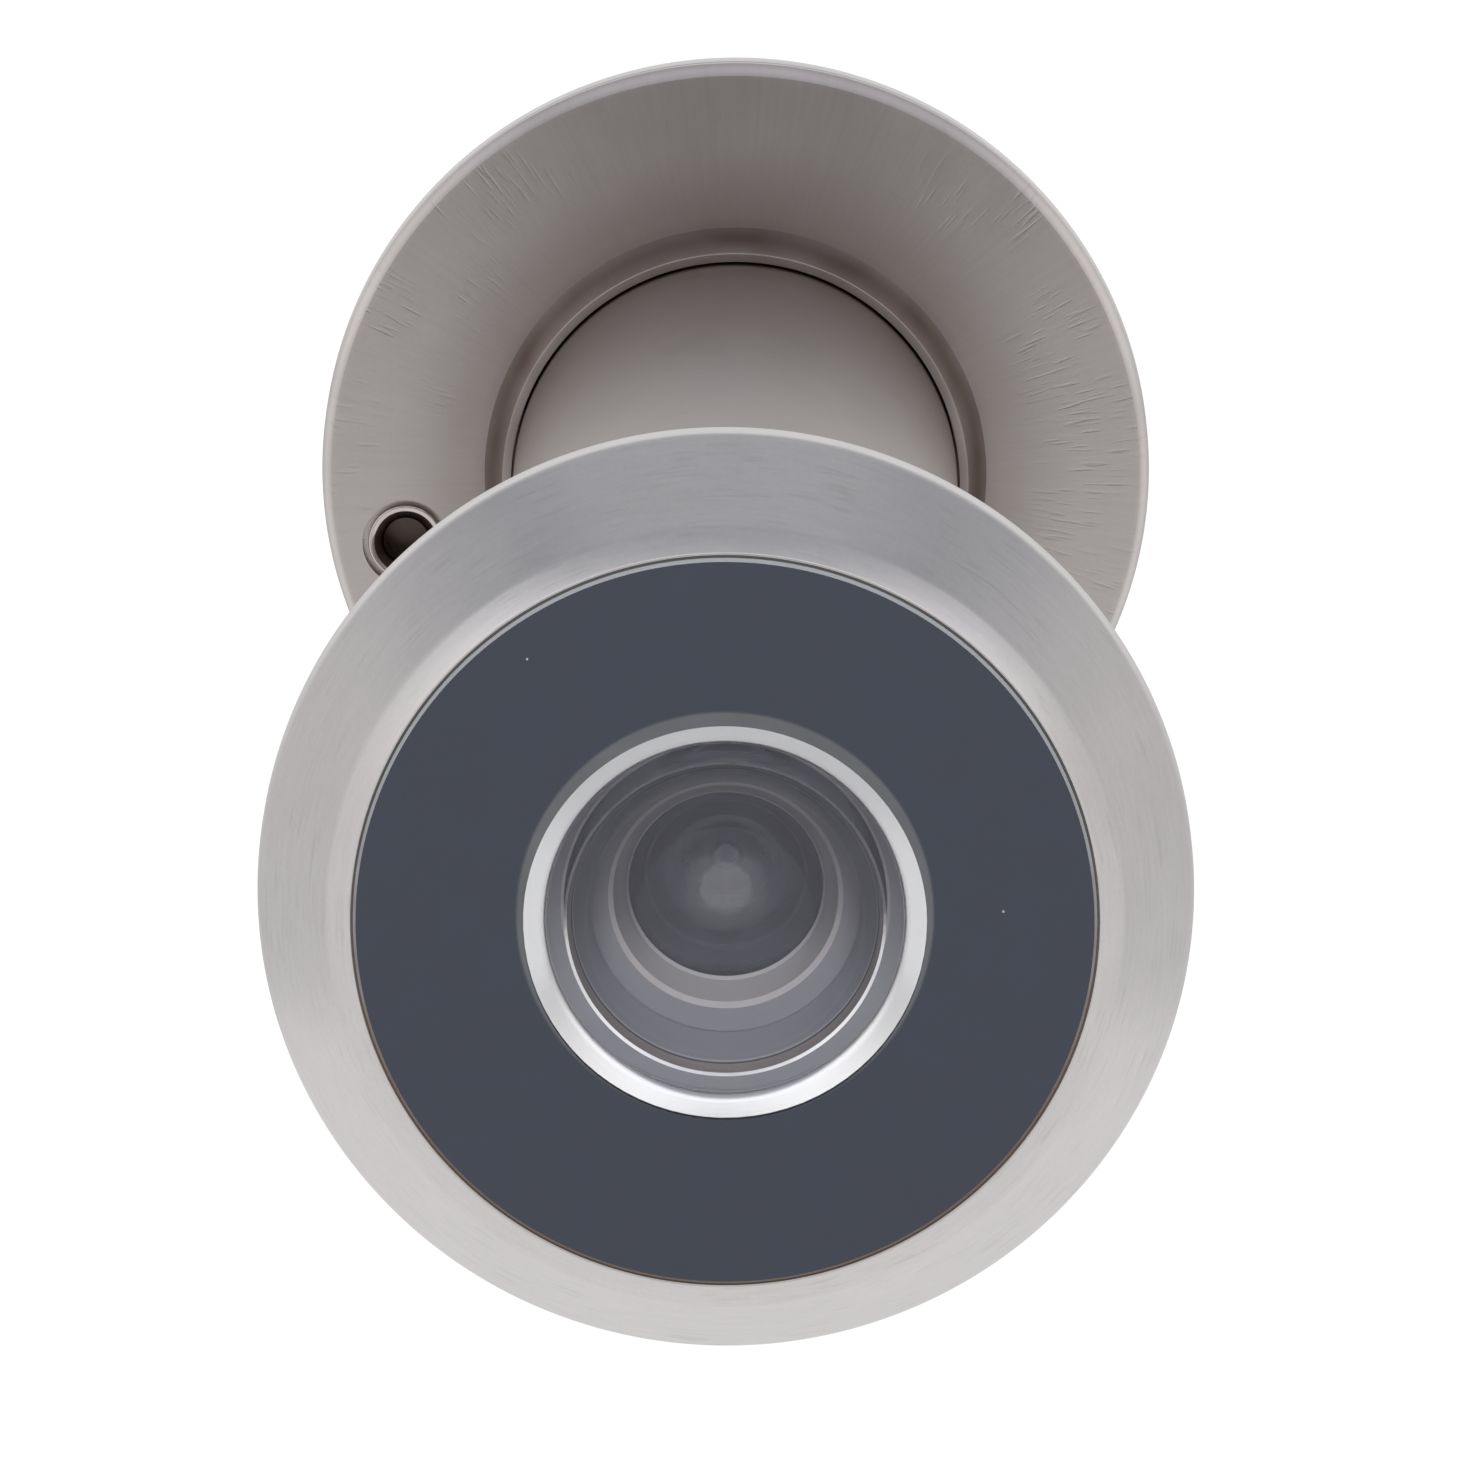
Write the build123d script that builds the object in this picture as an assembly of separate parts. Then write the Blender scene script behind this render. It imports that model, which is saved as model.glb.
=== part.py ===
from build123d import *
import math
import os

# Door viewer, in millimetres. The origin is the centre of the outdoor flange's seat on the door.
# +Y runs along the tube from outdoors to indoors and +Z is up. Outlines are (radius, y) points about Y.

# The door: the thickness that the viewer is set to, and the thinnest that it closes on
door_thickness = 57.0
thinnest_door = 35.0
sleeve_end_room = 1.0
barrel_end_room = 5.0

# Outdoor flange: a rim, a steep outer band and a shallow inner band up to the window
flange_diameter = 26.0
rim_height = 1.1
crease_height = 4.1
inner_band_width = 0.68
lip_height = 4.6
lip_width = 0.05
flange_edge_round = 0.12

# Window: a flat pane bonded into the flange, with a black ring on its back
window_diameter = 20.5
window_thickness = 0.3
window_proud = 0.2
window_bevel_width = 0.13
window_bevel_depth = 0.16
window_bond_width = 0.07
mask_aperture = 11.12
mask_thickness = 0.05

# Bevelled ring that centres the first lens behind the window
bezel_diameter = 13.96
bezel_thickness = 1.0
bezel_bevel_diameter = 11.5
bezel_aperture = 9.9
bezel_bevel_depth = 0.3
bezel_lip = 0.15

# Barrel, with its thread as ridges
barrel_bore = 10.2
spigot_diameter = 11.6
thread_diameter = 12.0
thread_pitch = 0.75
thread_depth = 0.46
thread_start = 1.0

# Outdoor gasket, let into the flange
gasket_thickness = 0.5
gasket_outer_diameter = 23.6
gasket_inner_diameter = 12.2

# Lenses and what spaces them
lens_rim_lift = 0.2
dish_diameter = 8.72
dish_radius = 4.42
first_lens_centre = 0.7
front_spacer_length = 2.5
front_spacer_bore = 7.6
second_lens_edge = 2.4
second_lens_clear = 8.4
second_front_radius = 10.0
second_back_radius = 14.0
middle_spacer_length = 3.0
middle_spacer_bore = 8.4
third_lens_edge = 2.0
third_lens_clear = 8.0
third_back_radius = 13.0
retainer_length = 1.5
retainer_bore = 7.8
retainer_slot_width = 1.0
retainer_slot_depth = 0.7

# Rosette: a thin plate with a tapered collar round the sleeve
plate_thickness = 0.75
plate_bevel_width = 0.3
plate_bevel_height = 0.6
collar_height = 1.25
collar_base_diameter = 15.76
collar_top_diameter = 14.6
counterbore_diameter = 15.0

# Sleeve, with a slotted head let into the rosette
sleeve_diameter = 13.9
sleeve_bore = 12.1
sleeve_end_bevel = 0.25
head_thickness = 0.66
head_slot_width = 1.4
head_slot_depth = 0.4
head_slot_length = 1.0
eyecup_diameter = 11.2
eyepiece_aperture = 9.2
eyepiece_web = 0.7
eyepiece_seat_depth = 0.9

# Eyepiece lens and its ring
eyepiece_edge = 1.0
eyepiece_clear = 10.4
eyepiece_radius = 14.0
eyepiece_ring_length = 1.2

# Privacy cover and the open-ended rivet that it turns on
cover_thickness = 1.2
cover_bevel_width = 0.4
cover_bevel_height = 0.35
cover_gap = 0.06
pivot_edge_distance = 2.4
pivot_angle = 192.0
rivet_diameter = 2.0
rivet_bore = 1.4
rivet_mouth_diameter = 2.08
rivet_flare_diameter = 2.5
rivet_flare_height = 0.34
rivet_flare_sink = 0.04
rivet_bore_depth = 1.9
rivet_head_diameter = 3.8
rivet_head_thickness = 0.6
rivet_head_bevel = 0.35
rivet_pocket_diameter = 2.72
rivet_pocket_depth = 0.4
washer_diameter = 3.7
washer_bore = 2.2
washer_thickness = 0.15
washer_cone = 0.13

# Clearances, each on the radius except the seat gaps, which are along Y
press_clearance = 0.02
lens_clearance = 0.05
sleeve_clearance = 0.08
head_clearance = 0.08
pivot_clearance = 0.05
gasket_clearance = 0.1
bond_clearance = 0.01
seat_gap = 0.02

# Places along Y, worked out from the sizes above
lip_y = -lip_height
window_front_y = lip_y - window_proud
window_back_y = window_front_y + window_thickness
mask_back_y = window_back_y + mask_thickness
bezel_back_y = mask_back_y + bezel_thickness
bezel_stop_y = mask_back_y + bezel_bevel_depth + bezel_lip
dish_rim_y = bezel_stop_y - lens_rim_lift
dish_sag = dish_radius - math.sqrt(dish_radius ** 2 - (dish_diameter / 2) ** 2)
dish_bottom_y = dish_rim_y + dish_sag
first_lens_back_y = dish_bottom_y + first_lens_centre
second_lens_y = first_lens_back_y + front_spacer_length
second_lens_back_y = second_lens_y + second_lens_edge
third_lens_y = second_lens_back_y + middle_spacer_length
third_lens_back_y = third_lens_y + third_lens_edge
barrel_end_y = thinnest_door - barrel_end_room
sleeve_front_y = door_thickness - thinnest_door + sleeve_end_room
plate_back_y = door_thickness + plate_thickness
head_front_y = door_thickness + seat_gap
head_back_y = head_front_y + head_thickness
eyepiece_back_y = door_thickness - eyepiece_seat_depth
eyepiece_rim_y = eyepiece_back_y - eyepiece_edge
cover_front_y = plate_back_y + cover_gap
cover_back_y = cover_front_y + cover_thickness
washer_y = cover_back_y + seat_gap
rivet_head_y = washer_y + washer_thickness + washer_cone + seat_gap

# Places and sizes across the axis
lens_diameter = barrel_bore - 2 * lens_clearance
pivot_radius = flange_diameter / 2 - pivot_edge_distance
pivot_place = Pos(
    pivot_radius * math.cos(math.radians(pivot_angle)), 0,
    pivot_radius * math.sin(math.radians(pivot_angle)),
)


def turned(*points):
    """A solid turned about Y from straight sides between (radius, y) points."""
    return revolve(make_face(Polyline(*points, close=True)), Axis.Y)


def ring(outer, inner, front, back):
    """A plain ring between two diameters and two places along Y."""
    return turned((inner / 2, front), (outer / 2, front), (outer / 2, back), (inner / 2, back))


def disc(diameter, front, back):
    """A plain round disc between two places along Y."""
    return turned((0, front), (diameter / 2, front), (diameter / 2, back), (0, back))


def ball(radius, centre_y):
    """A ball on the tube's axis, which cuts or makes a lens surface."""
    return Pos(0, centre_y, 0) * Sphere(radius)


def cap_height(radius, clear):
    """How far a lens surface of this radius dips over its clear diameter."""
    return radius - math.sqrt(radius ** 2 - (clear / 2) ** 2)


def make_outer_flange():
    """The turned flange: seat, rim, two bands, window recess and the steps inside."""
    recess = window_diameter / 2 + window_bond_width
    lip = recess + lip_width
    body = turned(
        (flange_diameter / 2, 0),
        (flange_diameter / 2, -rim_height),
        (lip + inner_band_width, -crease_height),
        (lip, lip_y),
        (recess, lip_y),
        (recess, mask_back_y),
        (bezel_diameter / 2 + press_clearance, mask_back_y),
        (bezel_diameter / 2 + press_clearance, bezel_back_y),
        (spigot_diameter / 2 + press_clearance, bezel_back_y),
        (spigot_diameter / 2 + press_clearance, -gasket_thickness),
        (gasket_outer_diameter / 2 + gasket_clearance, -gasket_thickness),
        (gasket_outer_diameter / 2 + gasket_clearance, 0),
    )
    widest_edges = body.edges().filter_by(GeomType.CIRCLE).group_by(SortBy.RADIUS)[-1]
    return fillet(widest_edges, flange_edge_round)


def make_outer_gasket():
    """The flat gasket let into the seat."""
    return ring(gasket_outer_diameter, gasket_inner_diameter, -gasket_thickness, 0)


def make_outer_barrel():
    """The lens barrel: a plain spigot in the flange, a shoulder, then ridges for the thread."""
    crest = thread_diameter / 2
    root = crest - thread_depth
    spigot = spigot_diameter / 2
    bore = barrel_bore / 2
    turns = int((barrel_end_y - thread_start) / thread_pitch)
    outline = [(bore, bezel_back_y), (spigot, bezel_back_y), (spigot, -gasket_thickness),
               (crest, -gasket_thickness), (crest, thread_start)]
    for turn in range(turns):
        valley = thread_start + (turn + 0.5) * thread_pitch
        outline += [(root, valley), (crest, valley + thread_pitch / 2)]
    outline += [(root, barrel_end_y), (bore, barrel_end_y)]
    return turned(*outline)


def make_front_window():
    """The flat pane, which stands proud of the flange, with a steep bevel round its front edge."""
    edge = window_diameter / 2
    return turned(
        (0, window_front_y), (edge - window_bevel_width, window_front_y),
        (edge, window_front_y + window_bevel_depth), (edge, window_back_y), (0, window_back_y),
    )


def make_window_seal():
    """The thin line of bond between the pane's edge and the flange."""
    outer = window_diameter + 2 * window_bond_width - 2 * bond_clearance
    return ring(outer, window_diameter + 2 * bond_clearance, lip_y, mask_back_y)


def make_window_mask():
    """The black ring on the back of the pane, open over the lens."""
    return ring(window_diameter, mask_aperture, window_back_y, mask_back_y)


def make_objective_bezel():
    """The bevelled ring that holds the first lens by its rim."""
    outer = bezel_diameter / 2
    seat = barrel_bore / 2
    return turned(
        (outer, mask_back_y), (bezel_bevel_diameter / 2, mask_back_y),
        (bezel_aperture / 2, mask_back_y + bezel_bevel_depth), (bezel_aperture / 2, bezel_stop_y),
        (seat, bezel_stop_y), (seat, bezel_back_y), (outer, bezel_back_y),
    )


def make_objective_lens():
    """The first lens: a raised rim and a deep round dish towards the door's outside."""
    blank = turned(
        (0, dish_rim_y), (dish_diameter / 2, dish_rim_y), (bezel_aperture / 2, bezel_stop_y),
        (lens_diameter / 2, bezel_stop_y), (lens_diameter / 2, first_lens_back_y), (0, first_lens_back_y),
    )
    return blank - ball(dish_radius, dish_bottom_y - dish_radius)


def make_front_spacer():
    """The tube between the first and second lenses."""
    return ring(lens_diameter, front_spacer_bore, first_lens_back_y, second_lens_y)


def make_second_lens():
    """The second lens, hollow on both faces."""
    blank = disc(lens_diameter, second_lens_y, second_lens_back_y)
    front_dip = cap_height(second_front_radius, second_lens_clear)
    back_dip = cap_height(second_back_radius, second_lens_clear)
    front = ball(second_front_radius, second_lens_y + front_dip - second_front_radius)
    back = ball(second_back_radius, second_lens_back_y - back_dip + second_back_radius)
    return blank - front - back


def make_middle_spacer():
    """The tube between the second and third lenses."""
    return ring(lens_diameter, middle_spacer_bore, second_lens_back_y, third_lens_y)


def make_third_lens():
    """The third lens, flat in front and hollow behind."""
    back_dip = cap_height(third_back_radius, third_lens_clear)
    back = ball(third_back_radius, third_lens_back_y - back_dip + third_back_radius)
    return disc(lens_diameter, third_lens_y, third_lens_back_y) - back


def make_lens_retaining_ring():
    """The slotted ring that locks the lenses in the barrel from behind."""
    back = third_lens_back_y + retainer_length
    outer = barrel_bore - 2 * press_clearance
    slot = Pos(0, back - retainer_slot_depth / 2, 0) * Box(outer, retainer_slot_depth, retainer_slot_width)
    return ring(outer, retainer_bore, third_lens_back_y, back) - slot


def make_rosette():
    """The indoor plate: collar, bevelled edge, a step for the sleeve's head and the rivet's hole."""
    bore = sleeve_diameter / 2 + sleeve_clearance
    edge = flange_diameter / 2
    plate = turned(
        (bore, door_thickness - collar_height),
        (collar_top_diameter / 2, door_thickness - collar_height),
        (collar_base_diameter / 2, door_thickness),
        (edge - plate_bevel_width, door_thickness),
        (edge, door_thickness + plate_bevel_height),
        (edge, plate_back_y),
        (counterbore_diameter / 2, plate_back_y),
        (counterbore_diameter / 2, door_thickness),
        (bore, door_thickness),
    )
    hole = disc(rivet_diameter + 2 * pivot_clearance, door_thickness, plate_back_y)
    pocket = disc(rivet_pocket_diameter, door_thickness, door_thickness + rivet_pocket_depth)
    return plate - pivot_place * (hole + pocket)


def make_sleeve():
    """The smooth sleeve that screws on the barrel, with its slotted head and eyecup."""
    outer = sleeve_diameter / 2
    bore = sleeve_bore / 2
    head = counterbore_diameter / 2 - head_clearance
    body = turned(
        (bore, sleeve_front_y), (outer - sleeve_end_bevel, sleeve_front_y),
        (outer, sleeve_front_y + sleeve_end_bevel), (outer, head_front_y), (head, head_front_y),
        (head, head_back_y), (eyecup_diameter / 2, head_back_y),
        (eyepiece_aperture / 2, eyepiece_back_y + eyepiece_web),
        (eyepiece_aperture / 2, eyepiece_back_y), (bore, eyepiece_back_y),
    )
    slot_middle = head - head_slot_length / 2
    for side in (-1, 1):
        place = Pos(side * slot_middle, head_back_y - head_slot_depth / 2, 0)
        body -= place * Box(head_slot_length, head_slot_depth, head_slot_width)
    return body


def make_eyepiece_lens():
    """The eyepiece: flat towards the eye, domed towards the barrel."""
    rise = cap_height(eyepiece_radius, eyepiece_clear)
    rim = disc(sleeve_bore - 2 * lens_clearance, eyepiece_rim_y, eyepiece_back_y)
    column = disc(eyepiece_clear, eyepiece_rim_y - rise, eyepiece_rim_y)
    dome = column & ball(eyepiece_radius, eyepiece_rim_y - rise + eyepiece_radius)
    return rim + dome


def make_eyepiece_retaining_ring():
    """The ring that holds the eyepiece lens against the sleeve's web."""
    outer = sleeve_bore - 2 * press_clearance
    return ring(outer, eyepiece_clear + 2 * lens_clearance, eyepiece_rim_y - eyepiece_ring_length, eyepiece_rim_y)


def make_privacy_cover():
    """The round cover behind the rosette, with a bevelled edge and the rivet's hole."""
    edge = flange_diameter / 2
    body = turned(
        (0, cover_front_y), (edge, cover_front_y), (edge, cover_back_y - cover_bevel_height),
        (edge - cover_bevel_width, cover_back_y), (0, cover_back_y),
    )
    return body - pivot_place * disc(rivet_diameter + 2 * pivot_clearance, cover_front_y, cover_back_y)


def make_pivot_rivet():
    """The tubular rivet: an open flared mouth in the rosette's pocket and a head over the cover."""
    shank = rivet_diameter / 2
    bore = rivet_bore / 2
    head = rivet_head_diameter / 2
    mouth_y = door_thickness + rivet_flare_sink
    flare_y = mouth_y + rivet_flare_height
    head_back = rivet_head_y + rivet_head_thickness
    bore_end = mouth_y + rivet_bore_depth
    return pivot_place * turned(
        (0, head_back), (head - rivet_head_bevel, head_back), (head, head_back - rivet_head_bevel),
        (head, rivet_head_y), (shank, rivet_head_y), (shank, flare_y),
        (rivet_flare_diameter / 2, mouth_y), (rivet_mouth_diameter / 2, mouth_y),
        (bore, flare_y), (bore, bore_end), (0, bore_end),
    )


def make_rivet_washer():
    """The coned spring washer that gives the cover its drag."""
    inner = washer_bore / 2
    outer = washer_diameter / 2
    return pivot_place * turned(
        (outer, washer_y), (outer, washer_y + washer_thickness),
        (inner, washer_y + washer_thickness + washer_cone), (inner, washer_y + washer_cone),
    )


nodes = {
    "outer_flange": make_outer_flange,
    "outer_gasket": make_outer_gasket,
    "outer_barrel": make_outer_barrel,
    "front_window": make_front_window,
    "window_seal": make_window_seal,
    "window_mask": make_window_mask,
    "objective_bezel": make_objective_bezel,
    "objective_lens": make_objective_lens,
    "front_spacer": make_front_spacer,
    "second_lens": make_second_lens,
    "middle_spacer": make_middle_spacer,
    "third_lens": make_third_lens,
    "lens_retaining_ring": make_lens_retaining_ring,
    "rosette": make_rosette,
    "sleeve": make_sleeve,
    "eyepiece_lens": make_eyepiece_lens,
    "eyepiece_retaining_ring": make_eyepiece_retaining_ring,
    "privacy_cover": make_privacy_cover,
    "pivot_rivet": make_pivot_rivet,
    "rivet_washer": make_rivet_washer,
}

os.makedirs("parts", exist_ok=True)
for name, make in nodes.items():
    solid = make()
    export_step(solid, f"parts/{name}.step")
    print(name, round(solid.volume, 2))
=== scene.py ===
import logging
import math
from dataclasses import dataclass, field, replace
from enum import Enum
from typing import Any, Callable, ClassVar, Iterable, Optional, Union

import bpy
from mathutils import Euler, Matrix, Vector


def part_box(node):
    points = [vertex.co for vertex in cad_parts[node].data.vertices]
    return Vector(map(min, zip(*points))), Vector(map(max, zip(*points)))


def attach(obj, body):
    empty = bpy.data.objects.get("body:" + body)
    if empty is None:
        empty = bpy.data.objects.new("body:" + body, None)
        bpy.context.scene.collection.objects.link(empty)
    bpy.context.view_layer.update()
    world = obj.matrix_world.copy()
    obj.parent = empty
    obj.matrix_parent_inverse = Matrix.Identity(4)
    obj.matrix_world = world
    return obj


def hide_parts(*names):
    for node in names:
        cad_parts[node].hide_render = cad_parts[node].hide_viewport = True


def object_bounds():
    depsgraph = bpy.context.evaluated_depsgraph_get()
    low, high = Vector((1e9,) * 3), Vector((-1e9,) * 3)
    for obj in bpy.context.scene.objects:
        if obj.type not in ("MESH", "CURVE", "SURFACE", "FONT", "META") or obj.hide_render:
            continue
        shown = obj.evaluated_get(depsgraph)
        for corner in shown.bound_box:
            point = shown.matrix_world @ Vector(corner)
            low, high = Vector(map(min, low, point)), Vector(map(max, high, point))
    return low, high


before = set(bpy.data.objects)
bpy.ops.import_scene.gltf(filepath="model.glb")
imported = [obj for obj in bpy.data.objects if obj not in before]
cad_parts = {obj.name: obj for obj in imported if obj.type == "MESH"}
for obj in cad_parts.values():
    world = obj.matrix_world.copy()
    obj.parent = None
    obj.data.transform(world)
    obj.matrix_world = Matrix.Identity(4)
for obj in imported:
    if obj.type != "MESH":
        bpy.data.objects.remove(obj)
CAD_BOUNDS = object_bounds()

log = logging.getLogger("door_viewer")

# Sizes are in metres, written in millimetres times MM. +Y runs from outdoors to indoors and +Z is up.
MM = 0.001
SPECK = 0.05 * MM  # the plane that an outline's first vertex is merged from
JOIN = 0.002 * MM  # points nearer than this are one
SKIN = 0.02 * MM  # the gap between glass and what it would touch
SPARE = 0.2 * MM  # how far a drill reaches past what it cuts
AXIS_ROOM = 0.01  # the least distance from an axis, in millimetres, at which a turn is worked out
SHOWN_STEPS, HIDDEN_STEPS, SMALL_STEPS = 256, 192, 96  # how many faces a turned piece has round it

Number = Union[float, "Wire"]
Triple = tuple[float, float, float]
Tone = Triple
Range = tuple[float, float]
NO_SHIFT: Range = (0.0, 0.0)


class Wire:
    """One output of a node tree, on which sums are written as on a number."""

    def __init__(self, board: "Board", socket: bpy.types.NodeSocket) -> None:
        """Keeps the tree and the output."""
        self.board = board
        self.socket = socket

    def __add__(self, other: Number) -> "Wire":
        """This value plus another."""
        return self.board.maths("ADD", self, other)

    __radd__ = __add__

    def __sub__(self, other: Number) -> "Wire":
        """This value less another."""
        return self.board.maths("SUBTRACT", self, other)

    def __rsub__(self, other: Number) -> "Wire":
        """Another value less this one."""
        return self.board.maths("SUBTRACT", other, self)

    def __mul__(self, other: Number) -> "Wire":
        """This value times another."""
        return self.board.maths("MULTIPLY", self, other)

    __rmul__ = __mul__

    def __truediv__(self, other: Number) -> "Wire":
        """This value over another."""
        return self.board.maths("DIVIDE", self, other)

    def __abs__(self) -> "Wire":
        """This value without its sign."""
        return self.board.maths("ABSOLUTE", self)

    def held(self) -> "Wire":
        """This value held between 0 and 1."""
        return self.board.maths("MINIMUM", self.board.maths("MAXIMUM", self, 0.0), 1.0)

    def rise(self, low: float, high: float) -> "Wire":
        """A smooth rise from 0, where this value is low, to 1, where it is high."""
        return self.board.node("ShaderNodeMapRange", {"interpolation_type": "SMOOTHSTEP"},
                               {"Value": self, "From Min": low, "From Max": high})

    def beside(self, name: str) -> "Wire":
        """Another output of the same node, by its name."""
        return Wire(self.board, self.socket.node.outputs[name])


class Board:
    """The node tree of a material or of the world, and the few ways in which nodes are added to it."""

    def __init__(self, tree: bpy.types.NodeTree) -> None:
        """Keeps the tree and empties it."""
        self.tree = tree
        tree.nodes.clear()

    def node(self, kind: str, settings: Optional[dict[str, Any]] = None,
             inputs: Optional[dict[Union[int, str], Any]] = None, out: Union[int, str] = 0) -> Wire:
        """Adds one node.

        Args:
            kind: The node's type.
            settings: Its settings, set first.
            inputs: The values or wires of its sockets.
            out: The output that is handed back.

        Returns:
            That output as a wire.
        """
        made = self.tree.nodes.new(kind)
        for name, value in (settings or {}).items():
            setattr(made, name, value)
        for key, value in (inputs or {}).items():
            if isinstance(value, Wire):
                self.tree.links.new(value.socket, made.inputs[key])
            else:
                made.inputs[key].default_value = value
        return Wire(self, made.outputs[out])

    def end(self, kind: str, surface: Wire) -> None:
        """Joins a shader to a new output node of the given type."""
        output = self.tree.nodes.new(kind)
        self.tree.links.new(surface.socket, output.inputs["Surface"])

    def maths(self, operation: str, *values: Number) -> Wire:
        """A Math node over one to three values."""
        return self.node("ShaderNodeMath", {"operation": operation}, dict(enumerate(values)))

    def distance(self, first: Wire, second: Wire) -> Wire:
        """The length of the long side over two short ones."""
        return self.maths("SQRT", first * first + second * second)

    def colours(self, share: Number, first: Union[Wire, Tone], second: Union[Wire, Tone]) -> Wire:
        """A colour between two, the second where share is 1."""
        ends = [colour if isinstance(colour, Wire) else shaded(colour) for colour in (first, second)]
        return self.node("ShaderNodeMix", {"data_type": "RGBA"}, {0: share, 6: ends[0], 7: ends[1]}, 2)

    def shades(self, share: Number, tone: Tone, spread: float) -> Wire:
        """A tone, darker by the spread where share is 0 and lighter where it is 1."""
        darker, lighter = (shaded(tone, 1.0 + side * spread) for side in (-1, 1))
        return self.node("ShaderNodeMix", {"data_type": "RGBA"}, {0: share, 6: darker, 7: lighter}, 2)

    def shaders(self, share: Number, first: Wire, second: Wire) -> Wire:
        """A shader between two shaders, the second where share is 1."""
        return self.node("ShaderNodeMixShader", {}, {0: share, 1: first, 2: second})

    def place(self, x: Number, y: Number, z: Number) -> Wire:
        """A vector from its three parts."""
        return self.node("ShaderNodeCombineXYZ", {}, {"X": x, "Y": y, "Z": z})

    def noise(self, place: Wire, scale: float = 1.0, detail: float = 2.0, rough: float = 0.5) -> Wire:
        """Soft noise between 0 and 1, about 0.5."""
        return self.node("ShaderNodeTexNoise", {},
                         {"Vector": place, "Scale": scale, "Detail": detail, "Roughness": rough})

    def bump(self, height: Wire, depth: float) -> Wire:
        """A normal bent by a height between 0 and 1 that stands for depth metres."""
        return self.node("ShaderNodeBump", {}, {"Height": height, "Distance": depth, "Strength": 1.0})

    def principled(self, **inputs: Any) -> Wire:
        """A Principled shader; an underscore in a name stands for a space."""
        named = {name.replace("_", " "): value for name, value in inputs.items()}
        return self.node("ShaderNodeBsdfPrincipled", {}, named)


def shaded(tone: Tone, share: float = 1.0) -> tuple[float, float, float, float]:
    """A tone made darker or lighter, as a colour with full opacity."""
    return (*(min(1.0, part * share) for part in tone), 1.0)


@dataclass(frozen=True)
class Spot:
    """Where a shaded point lies about an axis along Y: lengths in millimetres, and the turn as two parts."""

    board: Board
    point: Wire
    along: Wire
    out: Wire
    across: Wire
    up: Wire
    dust_scale: ClassVar[float] = 1.3
    dust_edge: ClassVar[Range] = (0.03, 0.06)

    @classmethod
    def about(cls, board: Board, axis: Range = NO_SHIFT) -> "Spot":
        """Reads Object coordinates and works out the place about an axis.

        Args:
            board: The tree to add to.
            axis: The axis's X and Z, in metres.

        Returns:
            The place, as wires.
        """
        here = board.node("ShaderNodeTexCoord", out="Object")
        middle = (axis[0], 0.0, axis[1])
        moved = board.node("ShaderNodeVectorMath", {"operation": "SUBTRACT"}, {0: here, 1: middle})
        point = board.node("ShaderNodeVectorMath", {"operation": "SCALE"}, {0: moved, "Scale": 1 / MM})
        x = board.node("ShaderNodeSeparateXYZ", {}, {0: point})
        y, z = x.beside("Y"), x.beside("Z")
        out = board.maths("MAXIMUM", board.distance(x, z), AXIS_ROOM)
        return cls(board, point, y, out, x / out, z / out)

    def noise(self, scale: float, detail: float, rough: float = 0.5) -> Wire:
        """Soft noise over the surface, with scale waves to a millimetre."""
        return self.board.noise(self.point, scale, detail, rough)

    def dust(self, share: float) -> Wire:
        """Sparse round specks of dust.

        Args:
            share: How many of the cells hold a speck.

        Returns:
            A mask: 1 on a speck and 0 beside it.
        """
        cells = self.board.node("ShaderNodeTexVoronoi", {"feature": "F1"},
                                {"Vector": self.point, "Scale": self.dust_scale})
        chosen = self.board.node("ShaderNodeSeparateColor", {}, {0: cells.beside("Color")})
        near = 1.0 - cells.rise(*self.dust_edge)
        return near * chosen.rise(1.0 - share, 1.0 - share + 0.01)


class Lay(Enum):
    """Which way the fine lines of a worked surface run."""

    ROUND = "round the axis, as a lathe leaves them"
    SPOKES = "outward from the axis, as a brush wheel leaves them"
    LENGTHWISE = "along the axis"


@dataclass(frozen=True)
class RingMark:
    """A mark along a round edge: brighter where its lift is positive, as wear on most edges and as a painted
    highlight on the rosette's bevel, and darker and browner where it is negative, as painted shade.
    """

    out: float
    along: float
    width: float
    lift: float = 0.12


@dataclass(frozen=True)
class Strokes:
    """One set of fine lines: width and length in millimetres, depth in thousandths of one, and strength."""

    width: float
    length: float
    depth: float
    contrast: float
    slant: ClassVar[float] = 0.6

    def field(self, spot: Spot, lay: Lay, radius: float, shift: float = 0.0) -> Wire:
        """Noise stretched along the lines.

        Args:
            spot: The place on the surface.
            lay: Which way the lines run.
            radius: How far out, in millimetres, they have their length and width.
            shift: Moves the pattern, so that two sets differ.

        Returns:
            A value between 0 and 1, about 0.5.
        """
        profile = spot.out + spot.along * self.slant + shift
        if lay is Lay.ROUND:
            around = radius / self.length
            place = spot.board.place(spot.across * around, spot.up * around, profile / self.width)
        else:
            around = radius / self.width
            place = spot.board.place(spot.across * around + shift, spot.up * around, profile / self.length)
        return spot.board.noise(place, detail=0.0)


@dataclass(frozen=True)
class Finish:
    """A finish that makes its own node material; its lengths are in millimetres where they have no MM."""

    name: str

    def material(self, axis: Range = NO_SHIFT) -> bpy.types.Material:
        """Makes the material.

        Args:
            axis: The X and Z of the axis that its pattern follows.

        Returns:
            The material.
        """
        made = new_material(self.name)
        board = Board(made.node_tree)
        board.end("ShaderNodeOutputMaterial", self.surface(Spot.about(board, axis)))
        return made

    def surface(self, spot: Spot) -> Wire:
        """The finish's shader at a place on the surface."""
        raise NotImplementedError


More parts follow.
